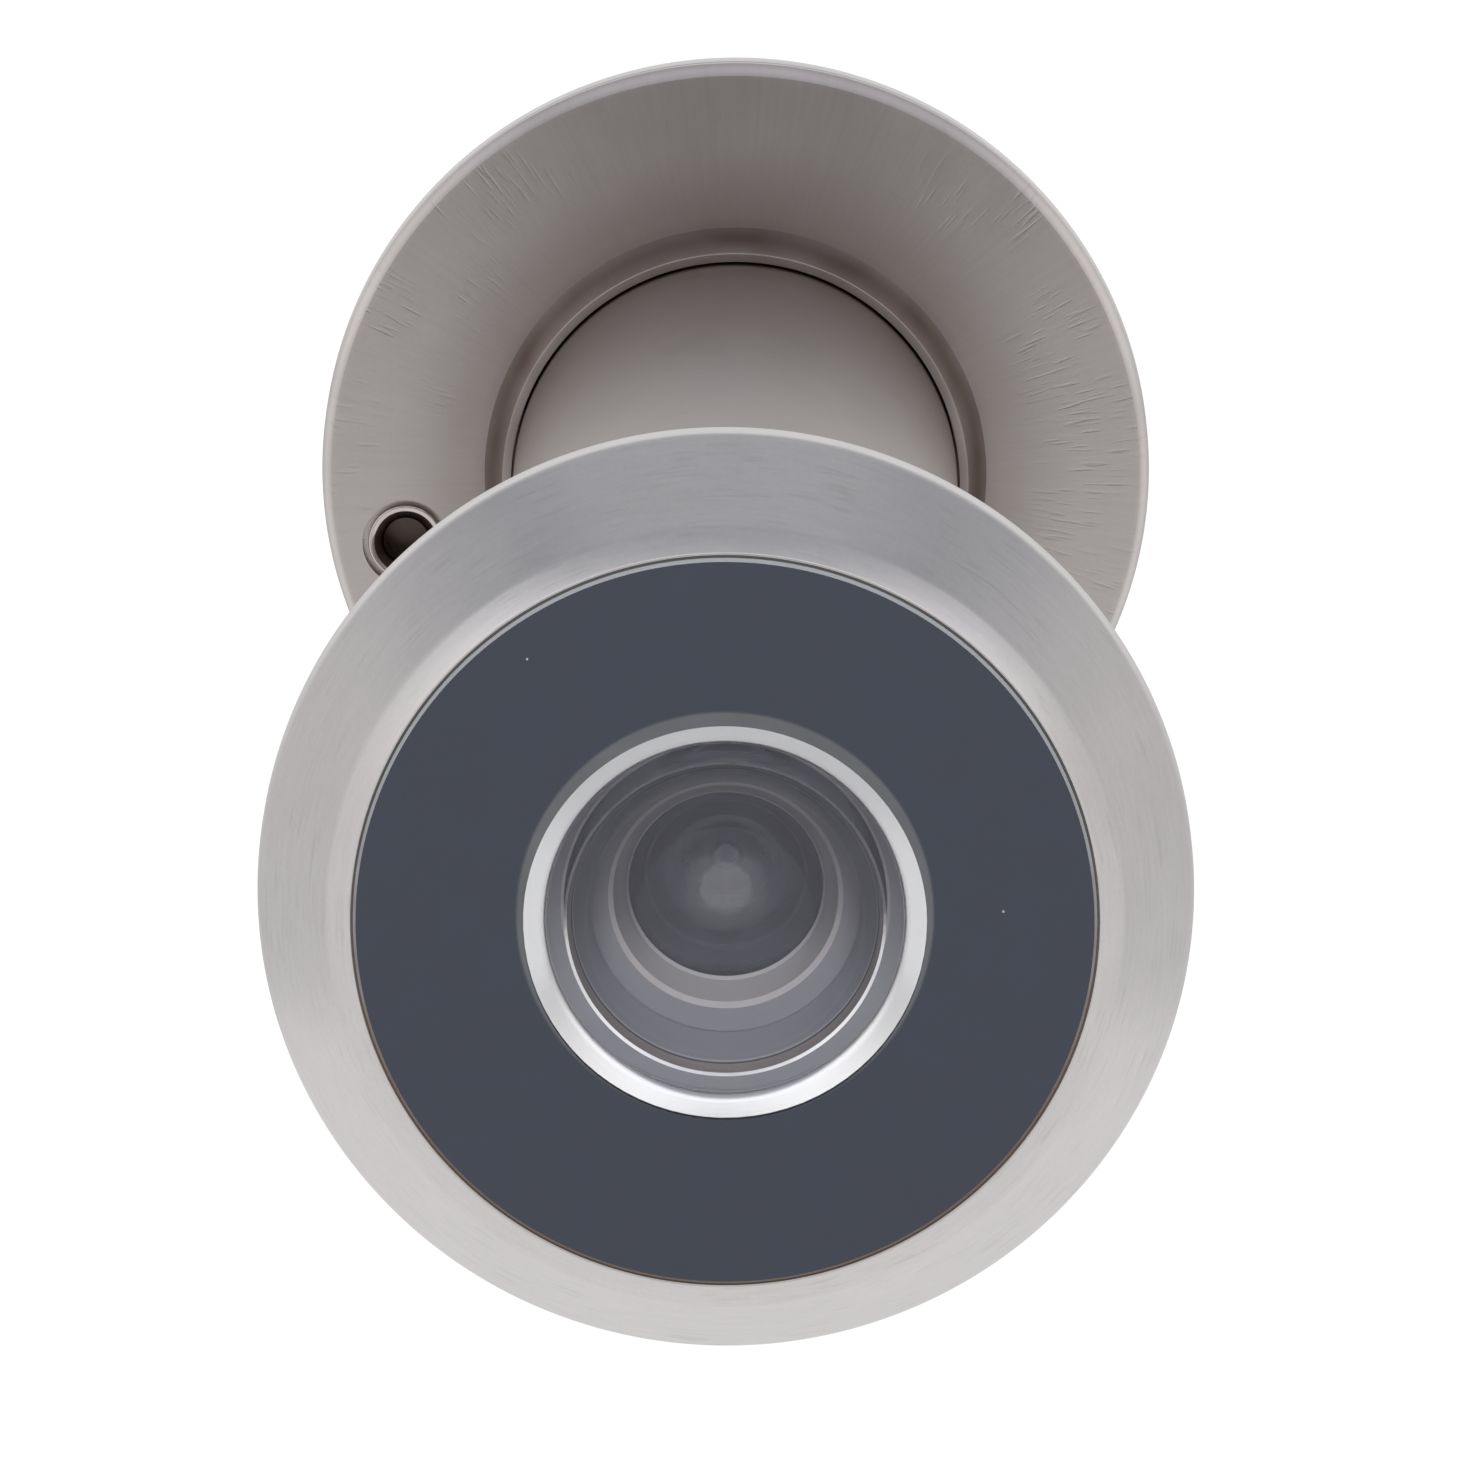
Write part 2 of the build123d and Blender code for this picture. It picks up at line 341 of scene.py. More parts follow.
@dataclass(frozen=True)
class BrushedMetal(Finish):
    """Plated metal with a fine brushed or turned face, cloudy wear and worn edges, and painted highlight and
    painted shade along marked edges.
    """

    tone: Tone
    roughness: float
    lay: Lay
    radius: float
    fine: Strokes
    deep: Strokes
    deep_from: float = 0.0
    deep_beside: float = 0.0
    cloud: float = 0.10
    sand: float = 0.08
    # The brown that negative marks darken the metal towards: painted shade.
    shade_brown: Tone = (0.17, 0.130, 0.110)
    rings: tuple[RingMark, ...] = ()
    deep_shift: ClassVar[float] = 31.0
    deep_share: ClassVar[Range] = (0.56, 0.78)
    patch_scale: ClassVar[float] = 0.55
    patch_share: ClassVar[Range] = (0.42, 0.62)
    beside_share: ClassVar[Range] = (0.35, 0.85)
    mark_share: ClassVar[Range] = (0.25, 0.75)
    mark_floor: ClassVar[float] = 0.75
    cloud_scale: ClassVar[float] = 0.45
    sand_scale: ClassVar[float] = 7.0
    tone_spread: ClassVar[float] = 0.4

    def marked(self, *rings: RingMark) -> "BrushedMetal":
        """The same metal with marks along its edges."""
        return replace(self, rings=rings)

    def surface(self, spot: Spot) -> Wire:
        """The metal's shader.

        Args:
            spot: The place on the surface.

        Returns:
            The shader.
        """
        board = spot.board
        fine = self.fine.field(spot, self.lay, self.radius)
        start = self.deep_from / MM
        deep = self.deep.field(spot, self.lay, self.radius, self.deep_shift).rise(*self.deep_share)
        patches = spot.noise(self.patch_scale, 2.0).rise(*self.patch_share)
        deep = deep * patches * spot.out.rise(start - 1.0, start + 1.0)
        beside = abs(spot.across).rise(*self.beside_share)
        deep = deep * (1.0 - self.deep_beside + beside * self.deep_beside)
        cloud = spot.noise(self.cloud_scale, 4.0) - 0.5
        sand = spot.noise(self.sand_scale, 2.0) - 0.5
        # Positive marks add worn brightness, and a painted highlight on the rosette's bevel; negative marks
        # add painted shade, tinted brown.
        wear_and_highlight = self.marks(spot, [ring for ring in self.rings if ring.lift > 0.0])
        painted_shade = (self.marks(spot, [ring for ring in self.rings if ring.lift < 0.0]) * -1.0).held()
        shade = (0.5 + (fine - 0.5) * self.fine.contrast + cloud * self.cloud + sand * self.sand
                 - deep * self.deep.contrast + wear_and_highlight)
        unshaded = board.shades(shade.held(), self.tone, self.tone_spread)
        rough = self.roughness + cloud * 0.06 + sand * 0.03 - wear_and_highlight * 0.05 + painted_shade * 0.05
        height = fine * (self.fine.depth * MM) - deep * (self.deep.depth * MM)
        return board.principled(Base_Color=board.colours(painted_shade, unshaded, self.shade_brown), Metallic=1.0,
                                Roughness=rough, Normal=board.bump(height, 1.0))

    def marks(self, spot: Spot, rings: Iterable[RingMark]) -> Wire:
        """How much brighter or darker some marks make the surface.

        Args:
            spot: The place on the surface.
            rings: The marks.

        Returns:
            The sum of the marks, made uneven by noise.
        """
        patch = spot.noise(self.cloud_scale, 1.0).rise(*self.mark_share)
        total = patch * 0.0
        for ring in rings:
            away = spot.board.distance(spot.out - ring.out / MM, spot.along - ring.along / MM)
            near = 1.0 - away.rise(0.0, ring.width / MM)
            total = total + near * (self.mark_floor + patch * (1.0 - self.mark_floor)) * ring.lift
        return total


@dataclass(frozen=True)
class GrainedSurface(Finish):
    """A surface with an even grain and no lay: blasted or anodised metal, rubber, cement or print."""

    tone: Tone
    roughness: float
    metallic: float
    grain: float
    depth: float
    specular: float = 0.5
    dust: float = 0.0
    mottle: ClassVar[float] = 0.15
    dust_tone: ClassVar[Tone] = (0.5, 0.5, 0.52)

    def surface(self, spot: Spot) -> Wire:
        """The grained shader.

        Args:
            spot: The place on the surface.

        Returns:
            The shader.
        """
        board = spot.board
        grain = spot.noise(MM / self.grain, 3.0, 0.6)
        cloud = spot.noise(0.6, 3.0)
        shade = (0.5 + (grain - 0.5) * self.mottle + (cloud - 0.5) * self.mottle).held()
        colour = board.shades(shade, self.tone, 0.3)
        if self.dust:
            colour = board.colours(spot.dust(self.dust), colour, self.dust_tone)
        rough = self.roughness + (grain - 0.5) * 0.12 + (cloud - 0.5) * 0.10
        return board.principled(Base_Color=colour, Metallic=self.metallic, Roughness=rough,
                                Specular_IOR_Level=self.specular, Normal=board.bump(grain, self.depth))


@dataclass(frozen=True)
class EdgeShadedBelow(Finish):
    """A matt edge that is darker and browner over its lower part: painted shade."""

    unshaded: Tone
    lower_tone: Tone
    grain_depth: ClassVar[float] = 0.0006 * MM
    lower_range: ClassVar[Range] = (-0.5, 0.75)

    def surface(self, spot: Spot) -> Wire:
        """The edge's shader.

        Args:
            spot: The place on the surface.

        Returns:
            The shader.
        """
        board = spot.board
        patch, grain = spot.noise(1.2, 3.0), spot.noise(18.0, 2.0)
        # Painted shade: darker and browner towards the bottom.
        lower_shade = ((patch - 0.5) * 0.5 - spot.up).rise(*self.lower_range)
        unshaded, lower_tone = board.shades(grain, self.unshaded, 0.12), board.shades(grain, self.lower_tone, 0.2)
        return board.principled(Base_Color=board.colours(lower_shade, unshaded, lower_tone),
                                Roughness=0.5 + (grain - 0.5) * 0.2,
                                Normal=board.bump(grain, self.grain_depth))


@dataclass(frozen=True)
class RimChamfer(Finish):
    """The narrow chamfer round a lens's dish: bright metal at the bottom, a painted highlight, fading to dark
    metal at the top, painted shade.
    """

    bright: Tone
    painted_light: Tone
    grain_depth: ClassVar[float] = 0.0002 * MM
    chamfer_range: ClassVar[Range] = (-0.22, 0.10)

    def surface(self, spot: Spot) -> Wire:
        """The chamfer's shader.

        Args:
            spot: The place on the surface.

        Returns:
            The shader.
        """
        board = spot.board
        grain = spot.noise(6.0, 2.0)
        # Painted highlight at the bottom, painted shade towards the top.
        chamfer_shade = (spot.up + (grain - 0.5) * 0.1).rise(*self.chamfer_range)
        return board.principled(Base_Color=board.colours(chamfer_shade, self.bright, self.painted_light), Metallic=1.0,
                                Roughness=0.36 + (grain - 0.5) * 0.1,
                                Normal=board.bump(grain, self.grain_depth))


@dataclass(frozen=True)
class GroundSide(Finish):
    """A lens's ground side, seen from within: old bond in front, painted shade at the top, and a dark and a
    pale line that are painted shade and a painted highlight.
    """

    ground: Tone = (0.32, 0.325, 0.36)
    bonded: Tone = (0.34, 0.30, 0.28)
    dark_top_tone: Tone = (0.09, 0.09, 0.105)
    line: Tone = (0.06, 0.06, 0.07)
    pale: Tone = (0.62, 0.62, 0.64)
    line_along: float = -2.65
    line_width: float = 0.14
    dark_top_range: ClassVar[Range] = (0.35, 1.0)
    grain_depth: ClassVar[float] = 0.001 * MM

    def surface(self, spot: Spot) -> Wire:
        """The side's shader.

        Args:
            spot: The place on the surface.

        Returns:
            The shader.
        """
        board = spot.board
        grain, cloud = spot.noise(12.0, 2.0), spot.noise(0.8, 3.0)
        past = spot.along.rise(*self.beyond(0.0, 0.5))
        # The dark line is painted shade and the pale line behind it a painted highlight.
        dark = past * (1.0 - spot.along.rise(*self.beyond(1.0, 1.5)))
        light = spot.along.rise(*self.beyond(1.2, 1.7)) * (1.0 - spot.along.rise(*self.beyond(2.0, 3.0)))
        # Painted shade, darker towards the top.
        top_shade = (spot.up + (cloud - 0.5) * 0.3).rise(*self.dark_top_range) * 0.75
        tone = board.colours(past, self.bonded, board.colours(top_shade, self.ground, self.dark_top_tone))
        tone = board.colours(dark, tone, self.line)
        tone = board.colours(light * (0.4 + cloud * 0.6), tone, self.pale)
        return board.principled(Base_Color=tone, Roughness=0.55 + (cloud - 0.5) * 0.1,
                                Normal=board.bump(grain, self.grain_depth))

    def beyond(self, first: float, last: float) -> Range:
        """Two places behind the front of the dark line, in widths of it."""
        return self.line_along + first * self.line_width, self.line_along + last * self.line_width


@dataclass(frozen=True)
class PrintAndPaintedReflection(Finish):
    """Glass with a black print, and a painted reflection: a grey crescent round the hole, set a little off
    centre.
    """

    black: Tone = (0.004, 0.008, 0.022)
    grey: Tone = (0.085, 0.088, 0.095)
    speck_tone: Tone = (0.45, 0.45, 0.46)
    sheen: Tone = (0.90, 0.93, 1.0)
    radius: float = 5.74
    blur: float = 0.06
    index: float = 1.80
    specks: float = 0.10

    def surface(self, spot: Spot) -> Wire:
        """The print's shader.

        Args:
            spot: The place on the surface.

        Returns:
            The shader.
        """
        board = spot.board
        cloud = spot.noise(0.7, 3.0)
        # Painted reflection: grey inside a circle a little larger than the hole and moved up.
        painted_light = 1.0 - spot.out.rise(self.radius - self.blur, self.radius + self.blur)
        speck = spot.dust(self.specks)
        tone = board.colours(painted_light, board.shades(cloud, self.black, 0.2), board.shades(cloud, self.grey, 0.3))
        rough = 0.02 + cloud.rise(0.5, 0.8) * 0.03 + speck * 0.5
        return board.principled(Base_Color=board.colours(speck, tone, self.speck_tone), Roughness=rough,
                                IOR=self.index, Specular_Tint=shaded(self.sheen))


@dataclass(frozen=True)
class PolishedGlass(Finish):
    """Clear polished glass with faint smears, which lets the lamps' light through, and where asked a painted
    reflection: a pale patch at its middle.
    """

    tone: Tone
    sheen: Tone
    index: float
    smear: float = 0.0
    core_reflection: float = 0.0
    reflection_patch: ClassVar[Tone] = (0.80, 0.81, 0.82)
    smear_share: ClassVar[Range] = (0.55, 0.8)
    reflection_inner: ClassVar[Range] = (0.68, 0.78)
    reflection_outer: ClassVar[Range] = (0.9, 1.45)

    def surface(self, spot: Spot) -> Wire:
        """The glass's shader.

        Args:
            spot: The place on the surface.

        Returns:
            The shader.
        """
        board = spot.board
        smear = spot.noise(0.5, 3.0).rise(*self.smear_share)
        glass = board.principled(Base_Color=shaded(self.tone), Roughness=smear * self.smear, IOR=self.index,
                                 Transmission_Weight=1.0, Specular_Tint=shaded(self.sheen))
        # Painted reflection: a pale matt patch mixed in at the lens's middle.
        if self.core_reflection:
            reflection_patch = board.principled(Base_Color=shaded(self.reflection_patch), Roughness=0.7)
            patch = spot.noise(4.0, 3.0)
            core, edge = (1.0 - spot.out.rise(*reach) for reach in (self.reflection_inner, self.reflection_outer))
            glass = board.shaders((core * 0.6 + edge * 0.4) * (0.7 + patch * 0.6) * self.core_reflection, glass, reflection_patch)
        clear = board.node("ShaderNodeBsdfTransparent", {}, {"Color": shaded(self.tone)})
        return board.shaders(board.node("ShaderNodeLightPath", out="Is Shadow Ray"), glass, clear)


def new_material(name: str) -> bpy.types.Material:
    """Makes a material that has nodes.

    Args:
        name: Its name.

    Returns:
        The material.
    """
    made = bpy.data.materials.new(name)
    made.use_nodes = True
    return made


SATIN_FACE = BrushedMetal(
    "satin_nickel_flange", (0.61, 0.59, 0.583), 0.33, Lay.ROUND, 11.5,
    Strokes(0.11, 1.2, 0.0006, 0.09), Strokes(0.11, 1.2, 0.0009, 0.10), cloud=0.15, sand=0.12)
# The rosette's and the tube's satin nickel are darker copies of the flange's: painted shade.
SHADED_SATIN_ROSETTE = BrushedMetal(
    "satin_nickel_rosette_painted_shade", (0.520, 0.482, 0.471), 0.32, Lay.SPOKES, 10.5,
    Strokes(0.12, 2.4, 0.0006, 0.09), Strokes(0.09, 0.9, 0.0030, 0.09), deep_from=9.6 * MM, deep_beside=0.8)
SHADED_SATIN_TUBE = BrushedMetal(
    "satin_nickel_tube_painted_shade", (0.405, 0.368, 0.353), 0.32, Lay.ROUND, 6.95,
    Strokes(0.10, 0.9, 0.0004, 0.06), Strokes(0.11, 0.8, 0.0008, 0.05))
SATIN_COVER = BrushedMetal(
    "satin_nickel_cover", (0.61, 0.595, 0.585), 0.33, Lay.ROUND, 9.0,
    Strokes(0.06, 2.2, 0.0010, 0.10), Strokes(0.06, 1.4, 0.0016, 0.12))
BRIGHT_RIVET = BrushedMetal(
    "bright_nickel_rivet", (0.54, 0.50, 0.48), 0.18, Lay.ROUND, 1.2,
    Strokes(0.04, 0.8, 0.0004, 0.08), Strokes(0.05, 0.5, 0.0006, 0.06))
DARK_BORE = BrushedMetal(
    "tarnished_rivet_bore", (0.10, 0.078, 0.068), 0.32, Lay.LENGTHWISE, 0.7,
    Strokes(0.05, 0.6, 0.0008, 0.20), Strokes(0.06, 0.8, 0.0012, 0.2))
CUT_THREAD = BrushedMetal(
    "plated_thread_as_cut", (0.60, 0.58, 0.54), 0.32, Lay.ROUND, 5.8,
    Strokes(0.03, 2.5, 0.0006, 0.14), Strokes(0.04, 1.5, 0.0010, 0.10))
WASHER_STEEL = BrushedMetal(
    "spring_steel", (0.45, 0.44, 0.43), 0.32, Lay.ROUND, 1.5,
    Strokes(0.03, 0.8, 0.0006, 0.16), Strokes(0.04, 0.6, 0.0008, 0.08))
POLISHED_BEVEL = BrushedMetal(
    "polished_bevel", (0.97, 0.98, 1.0), 0.17, Lay.ROUND, 5.4,
    Strokes(0.03, 3.0, 0.0002, 0.04), Strokes(0.04, 1.0, 0.0002, 0.02))
SPACER_GREY = GrainedSurface("blasted_grey_spacer", (0.31, 0.312, 0.335), 0.5, 0.0, 0.08 * MM, 0.0010 * MM)
BORED_GREY = GrainedSurface("bored_grey_wall", (0.50, 0.485, 0.48), 0.5, 0.0, 0.10 * MM, 0.0006 * MM)
WORN_EDGE = GrainedSurface("worn_brown_edge", (0.54, 0.518, 0.52), 0.4, 0.0, 0.10 * MM, 0.0004 * MM)
BROKEN_EDGE = GrainedSurface("broken_bright_edge", (0.90, 0.89, 0.90), 0.4, 0.0, 0.10 * MM, 0.0004 * MM)
INKED_EDGE = GrainedSurface("blackened_glass_edge", (0.03, 0.03, 0.033), 0.6, 0.0, 0.08 * MM, 0.0010 * MM)
BLACK_ANODISED = GrainedSurface("black_anodised", (0.045, 0.045, 0.05), 0.42, 0.3, 0.05 * MM, 0.003 * MM)
BLACK_PRINT = GrainedSurface("black_print", (0.012, 0.013, 0.018), 0.6, 0.0, 0.3 * MM, 0.0002 * MM, 0.2)
GASKET_RUBBER = GrainedSurface(
    "black_rubber", (0.03, 0.03, 0.03), 0.75, 0.0, 0.09 * MM, 0.008 * MM, dust=0.02)
PANE_GLASS = PolishedGlass("pane_glass", (0.985, 0.985, 0.995), (0.72, 0.74, 0.84), 1.51, 0.02)
LENS_GLASS = PolishedGlass("lens_glass", (0.985, 0.98, 0.99), (0.50, 0.50, 0.60), 1.52)
FIRST_GLASS = PolishedGlass("first_lens_glass_painted_reflection", (0.985, 0.98, 0.99), (0.36, 0.36, 0.44), 1.52, core_reflection=0.065)
PANE_PRINT_AND_REFLECTION = PrintAndPaintedReflection("pane_print_and_painted_reflection")
LENS_SIDE = GroundSide("ground_glass_side_painted_shade")
LENS_CHAMFER = RimChamfer("rim_chamfer_painted_highlight", (0.98, 0.98, 0.98), (0.16, 0.16, 0.17))
GROUND_EDGE = EdgeShadedBelow("ground_pane_edge_painted_shade", (0.38, 0.395, 0.41), (0.15, 0.092, 0.062))
BOND_LINE = EdgeShadedBelow("bond_line_painted_shade", (0.085, 0.078, 0.075), (0.13, 0.080, 0.055))


@dataclass(frozen=True)
class Corner:
    """A corner of a turned outline: its distance from the axis, its place along it and its rounding."""

    out: float
    along: float
    rounding: float = 0.0
    segments: int = 4


@dataclass(frozen=True)
class Span:
    """Where a node of the frame lies: its front and back along Y, and its axis's X and Z and its radius."""

    front: float
    back: float
    axis: Range
    radius: float

    @classmethod
    def of(cls, node: str) -> "Span":
        """Reads a node's box.

        Args:
            node: The node's name.

        Returns:
            Its span, in metres.
        """
        low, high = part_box(node)
        axis = ((low.x + high.x) / 2, (low.z + high.z) / 2)
        return cls(low.y, high.y, axis, (high.x - low.x) / 2)


def sag(bend: float, clear: float) -> float:
    """How deep a ball-shaped face is, from its middle to its clear edge."""
    return bend - math.sqrt(bend ** 2 - clear ** 2)


def bowl(bend: float, clear: float, middle: float, rise: float, points: int) -> list[Corner]:
    """The outline of a ball-shaped lens face, from the axis to its clear edge.

    Args:
        bend: The face's radius.
        clear: How far out the face reaches.
        middle: Where its middle lies along Y.
        rise: 1 where its edge lies further along +Y than its middle, and -1 where it lies behind.
        points: How many corners the outline has.

    Returns:
        The corners, from the axis outwards.
    """
    widest = math.asin(clear / bend)
    turns = [widest * step / (points - 1) for step in range(points)]
    return [Corner(bend * math.sin(a), middle + rise * bend * (1 - math.cos(a))) for a in turns]


class Lathe:
    """Turns outlines into closed meshes about an axis along Y."""

    def __init__(self, axis: Range = NO_SHIFT, steps: int = HIDDEN_STEPS) -> None:
        """Keeps the axis's X and Z, and how many faces a turn has."""
        self.axis = axis
        self.steps = steps

    def at(self, corner: Corner) -> Vector:
        """The point in space of a corner on the outline's half plane."""
        return Vector((self.axis[0] + corner.out, corner.along, self.axis[1]))

    def turn(self, name: str, corners: list[Corner]) -> bpy.types.Object:
        """Turns a closed outline.

        Args:
            name: The piece's name.
            corners: The outline's corners in order.

        Returns:
            The piece.
        """
        piece = self.outline(name, corners)
        self.round_corners(piece, corners)
        bpy.ops.object.mode_set(mode="EDIT")
        bpy.ops.mesh.select_all(action="SELECT")
        middle = (self.axis[0], 0.0, self.axis[1])
        bpy.ops.mesh.spin(steps=self.steps, angle=math.tau, center=middle, axis=(0, 1, 0))
        bpy.ops.mesh.select_all(action="SELECT")
        bpy.ops.mesh.remove_doubles(threshold=JOIN)
        bpy.ops.mesh.normals_make_consistent(inside=False)
        bpy.ops.object.mode_set(mode="OBJECT")
        return piece

    def outline(self, name: str, corners: list[Corner]) -> bpy.types.Object:
        """Draws a closed wire, from one vertex extruded from corner to corner.

        Args:
            name: The piece's name.
            corners: The outline's corners in order.

        Returns:
            The wire.
        """
        bpy.ops.object.select_all(action="DESELECT")
        bpy.ops.mesh.primitive_plane_add(size=SPECK, location=self.at(corners[0]))
        piece = bpy.context.object
        piece.name = name
        piece.data.name = name
        bpy.ops.object.transform_apply(location=True, rotation=True, scale=True)
        bpy.ops.object.mode_set(mode="EDIT")
        bpy.ops.mesh.select_mode(type="VERT")
        bpy.ops.mesh.select_all(action="SELECT")
        bpy.ops.mesh.merge(type="CENTER")
        for here, there in zip(corners, corners[1:] + corners[:1]):
            step = self.at(there) - self.at(here)
            bpy.ops.mesh.extrude_region_move(TRANSFORM_OT_translate={"value": step})
        bpy.ops.mesh.select_all(action="SELECT")
        bpy.ops.mesh.remove_doubles(threshold=JOIN)
        bpy.ops.object.mode_set(mode="OBJECT")
        return piece

    def round_corners(self, piece: bpy.types.Object, corners: list[Corner]) -> None:
        """Rounds the corners that ask for it, those alike together.

        Args:
            piece: The wire.
            corners: Its corners.
        """
        for rounding, segments in sorted({(c.rounding, c.segments) for c in corners if c.rounding}):
            places = [self.at(c) for c in corners if (c.rounding, c.segments) == (rounding, segments)]
            choose_vertices(piece, places)
            bpy.ops.object.mode_set(mode="EDIT")
            bpy.ops.mesh.bevel(affect="VERTICES", offset=rounding, segments=segments, profile=0.5)
            bpy.ops.object.mode_set(mode="OBJECT")


def choose_vertices(piece: bpy.types.Object, places: list[Vector]) -> None:
    """Selects the vertices that lie at given places, and no others.

    Args:
        piece: The piece they are on.
        places: Where they lie.
    """
    bpy.ops.object.mode_set(mode="EDIT")
    bpy.ops.mesh.select_mode(type="VERT")
    bpy.ops.mesh.select_all(action="DESELECT")
    bpy.ops.object.mode_set(mode="OBJECT")
    for vertex in piece.data.vertices:
        vertex.select = any((vertex.co - place).length < JOIN for place in places)


def pick(piece: bpy.types.Object) -> None:
    """Selects one piece alone and makes it the active one.

    Args:
        piece: The piece.
    """
    bpy.ops.object.select_all(action="DESELECT")
    bpy.context.view_layer.objects.active = piece
    piece.select_set(True)


def apply_modifier(piece: bpy.types.Object, kind: str, **settings: Any) -> None:
    """Adds a modifier with its settings and applies it.

    Args:
        piece: The piece to change.
        kind: The modifier's type.
        **settings: Its settings by name.
    """
    pick(piece)
    modifier = piece.modifiers.new("step", kind)
    for name, value in settings.items():
        setattr(modifier, name, value)
    bpy.ops.object.modifier_apply(modifier=modifier.name)


def cut(piece: bpy.types.Object, tool: bpy.types.Object) -> None:
    """Takes one closed mesh out of another and removes it."""
    apply_modifier(piece, "BOOLEAN", operation="DIFFERENCE", solver="EXACT", object=tool)
    bpy.data.objects.remove(tool)


def cut_block(piece: bpy.types.Object, size: Triple, middle: Triple) -> None:
    """Cuts a box out of a piece.

    Args:
        piece: The piece to cut.
        size: The box's three sides.
        middle: The box's middle.
    """
    bpy.ops.object.select_all(action="DESELECT")
    bpy.ops.mesh.primitive_cube_add(size=1.0, location=middle, scale=size)
    bpy.ops.object.transform_apply(location=True, rotation=True, scale=True)
    cut(piece, bpy.context.object)


class Assembly:
    """A sub-assembly whose pieces ride on one body of the frame."""

    body: ClassVar[str]

    def seat(self, piece: bpy.types.Object, node: str, slot: str, *finishes: bpy.types.Material,
             angle: float = 32.0, choose: Optional[Callable[[float, float], int]] = None,
             axis: Range = NO_SHIFT) -> None:
        """Smooths and dresses a piece, and hands it to the frame in a node's place.

        Args:
            piece: The piece.
            node: The node that it stands for.
            slot: The name of a record slot; not used.
            *finishes: Its materials.
            angle: The angle in degrees over which its edges stay sharp.
            choose: Which material a face takes, by its distance from the axis and its place along it.
            axis: The axis's X and Z.
        """
        pick(piece)
        bpy.ops.object.shade_smooth_by_angle(angle=math.radians(angle))
        apply_modifier(piece, "WEIGHTED_NORMAL", keep_sharp=True)
        for finish in finishes:
            piece.data.materials.append(finish)
        if choose:
            for face in piece.data.polygons:
                out = math.hypot(face.center.x - axis[0], face.center.z - axis[1])
                face.material_index = choose(out, face.center.y)
        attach(piece, self.body)
        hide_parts(node)
        log.info("%s: %d faces, on %s", piece.name, len(piece.data.polygons), self.body)

    @staticmethod
    def dress_node(node: str, material: bpy.types.Material) -> None:
        """Gives a node of the frame its finish, and leaves its mesh as it is."""
        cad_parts[node].material_slots[0].material = material
        log.info("%s keeps its shape, with the finish %s", node, material.name)


@dataclass
class OuterFlange(Assembly):
    """The turned outdoor flange with its gasket."""

    body: ClassVar[str] = "outer_half"
    rim_height: float = 1.1 * MM
    crease_radius: float = 11.05 * MM
    crease_height: float = 4.1 * MM
    lip_width: float = 0.05 * MM
    recess_radius: float = 10.32 * MM
    barrel_room: float = 5.82 * MM
    bezel_room: float = 7.0 * MM
    gasket_room: float = 11.9 * MM

    def build(self) -> None:
        """Turns the flange and dresses it and the gasket."""
        whole = Span.of("outer_flange")
        shelf = Span.of("window_mask").back
        step = Span.of("objective_bezel").back
        gasket = Span.of("outer_gasket").front
        piece = Lathe(steps=SHOWN_STEPS).turn("flange_outdoor", [
            Corner(whole.radius, 0.0, 0.15 * MM),
            Corner(whole.radius, -self.rim_height, 0.18 * MM, 6),
            Corner(self.crease_radius, -self.crease_height, 0.12 * MM, 5),
            Corner(self.recess_radius + self.lip_width, whole.front, 0.03 * MM, 3),
            Corner(self.recess_radius, whole.front), Corner(self.recess_radius, shelf),
            Corner(self.bezel_room, shelf), Corner(self.bezel_room, step),
            Corner(self.barrel_room, step), Corner(self.barrel_room, gasket),
            Corner(self.gasket_room, gasket), Corner(self.gasket_room, 0.0),
        ])
        finish = SATIN_FACE.marked(RingMark(whole.radius, -self.rim_height, 0.30 * MM, 0.03),
                                   RingMark(whole.radius, 0.0, 0.2 * MM))
        self.seat(piece, "outer_flange", "satin_nickel", finish.material())
        self.dress_node("outer_gasket", GASKET_RUBBER.material())


@dataclass
class ViewingWindow(Assembly):
    """The flat pane with its ground edge, the black ring behind it and the bond round it."""

    body: ClassVar[str] = "outer_half"
    bevel_width: float = 0.08 * MM
    bevel_depth: float = 0.12 * MM
    print_hole: float = 5.56 * MM
    # How far up the painted reflection round the hole is moved.
    reflection_shift: float = 0.21 * MM

    def build(self) -> None:
        """Turns the pane, grinds its edge and dresses the mask and the bond."""
        pane = Span.of("front_window")
        face = pane.radius - self.bevel_width
        back = pane.back - SKIN
        piece = Lathe(steps=SHOWN_STEPS).turn("window_pane", [
            Corner(0.0, pane.front), Corner(self.print_hole, pane.front), Corner(face, pane.front),
            Corner(pane.radius, pane.front + self.bevel_depth), Corner(pane.radius, back), Corner(0.0, back),
        ])

        def choose(out: float, along: float) -> int:
            """Print on the front outside the hole, ground glass on the edge, clear glass elsewhere."""
            printed = along < pane.front + JOIN and out > self.print_hole
            return 2 if printed else int(out > face)

        self.seat(piece, "front_window", "clear_glass", PANE_GLASS.material(), GROUND_EDGE.material(),
                  PANE_PRINT_AND_REFLECTION.material((0.0, self.reflection_shift)), angle=20.0, choose=choose)
        self.dress_node("window_mask", BLACK_PRINT.material())
        self.dress_node("window_seal", BOND_LINE.material())


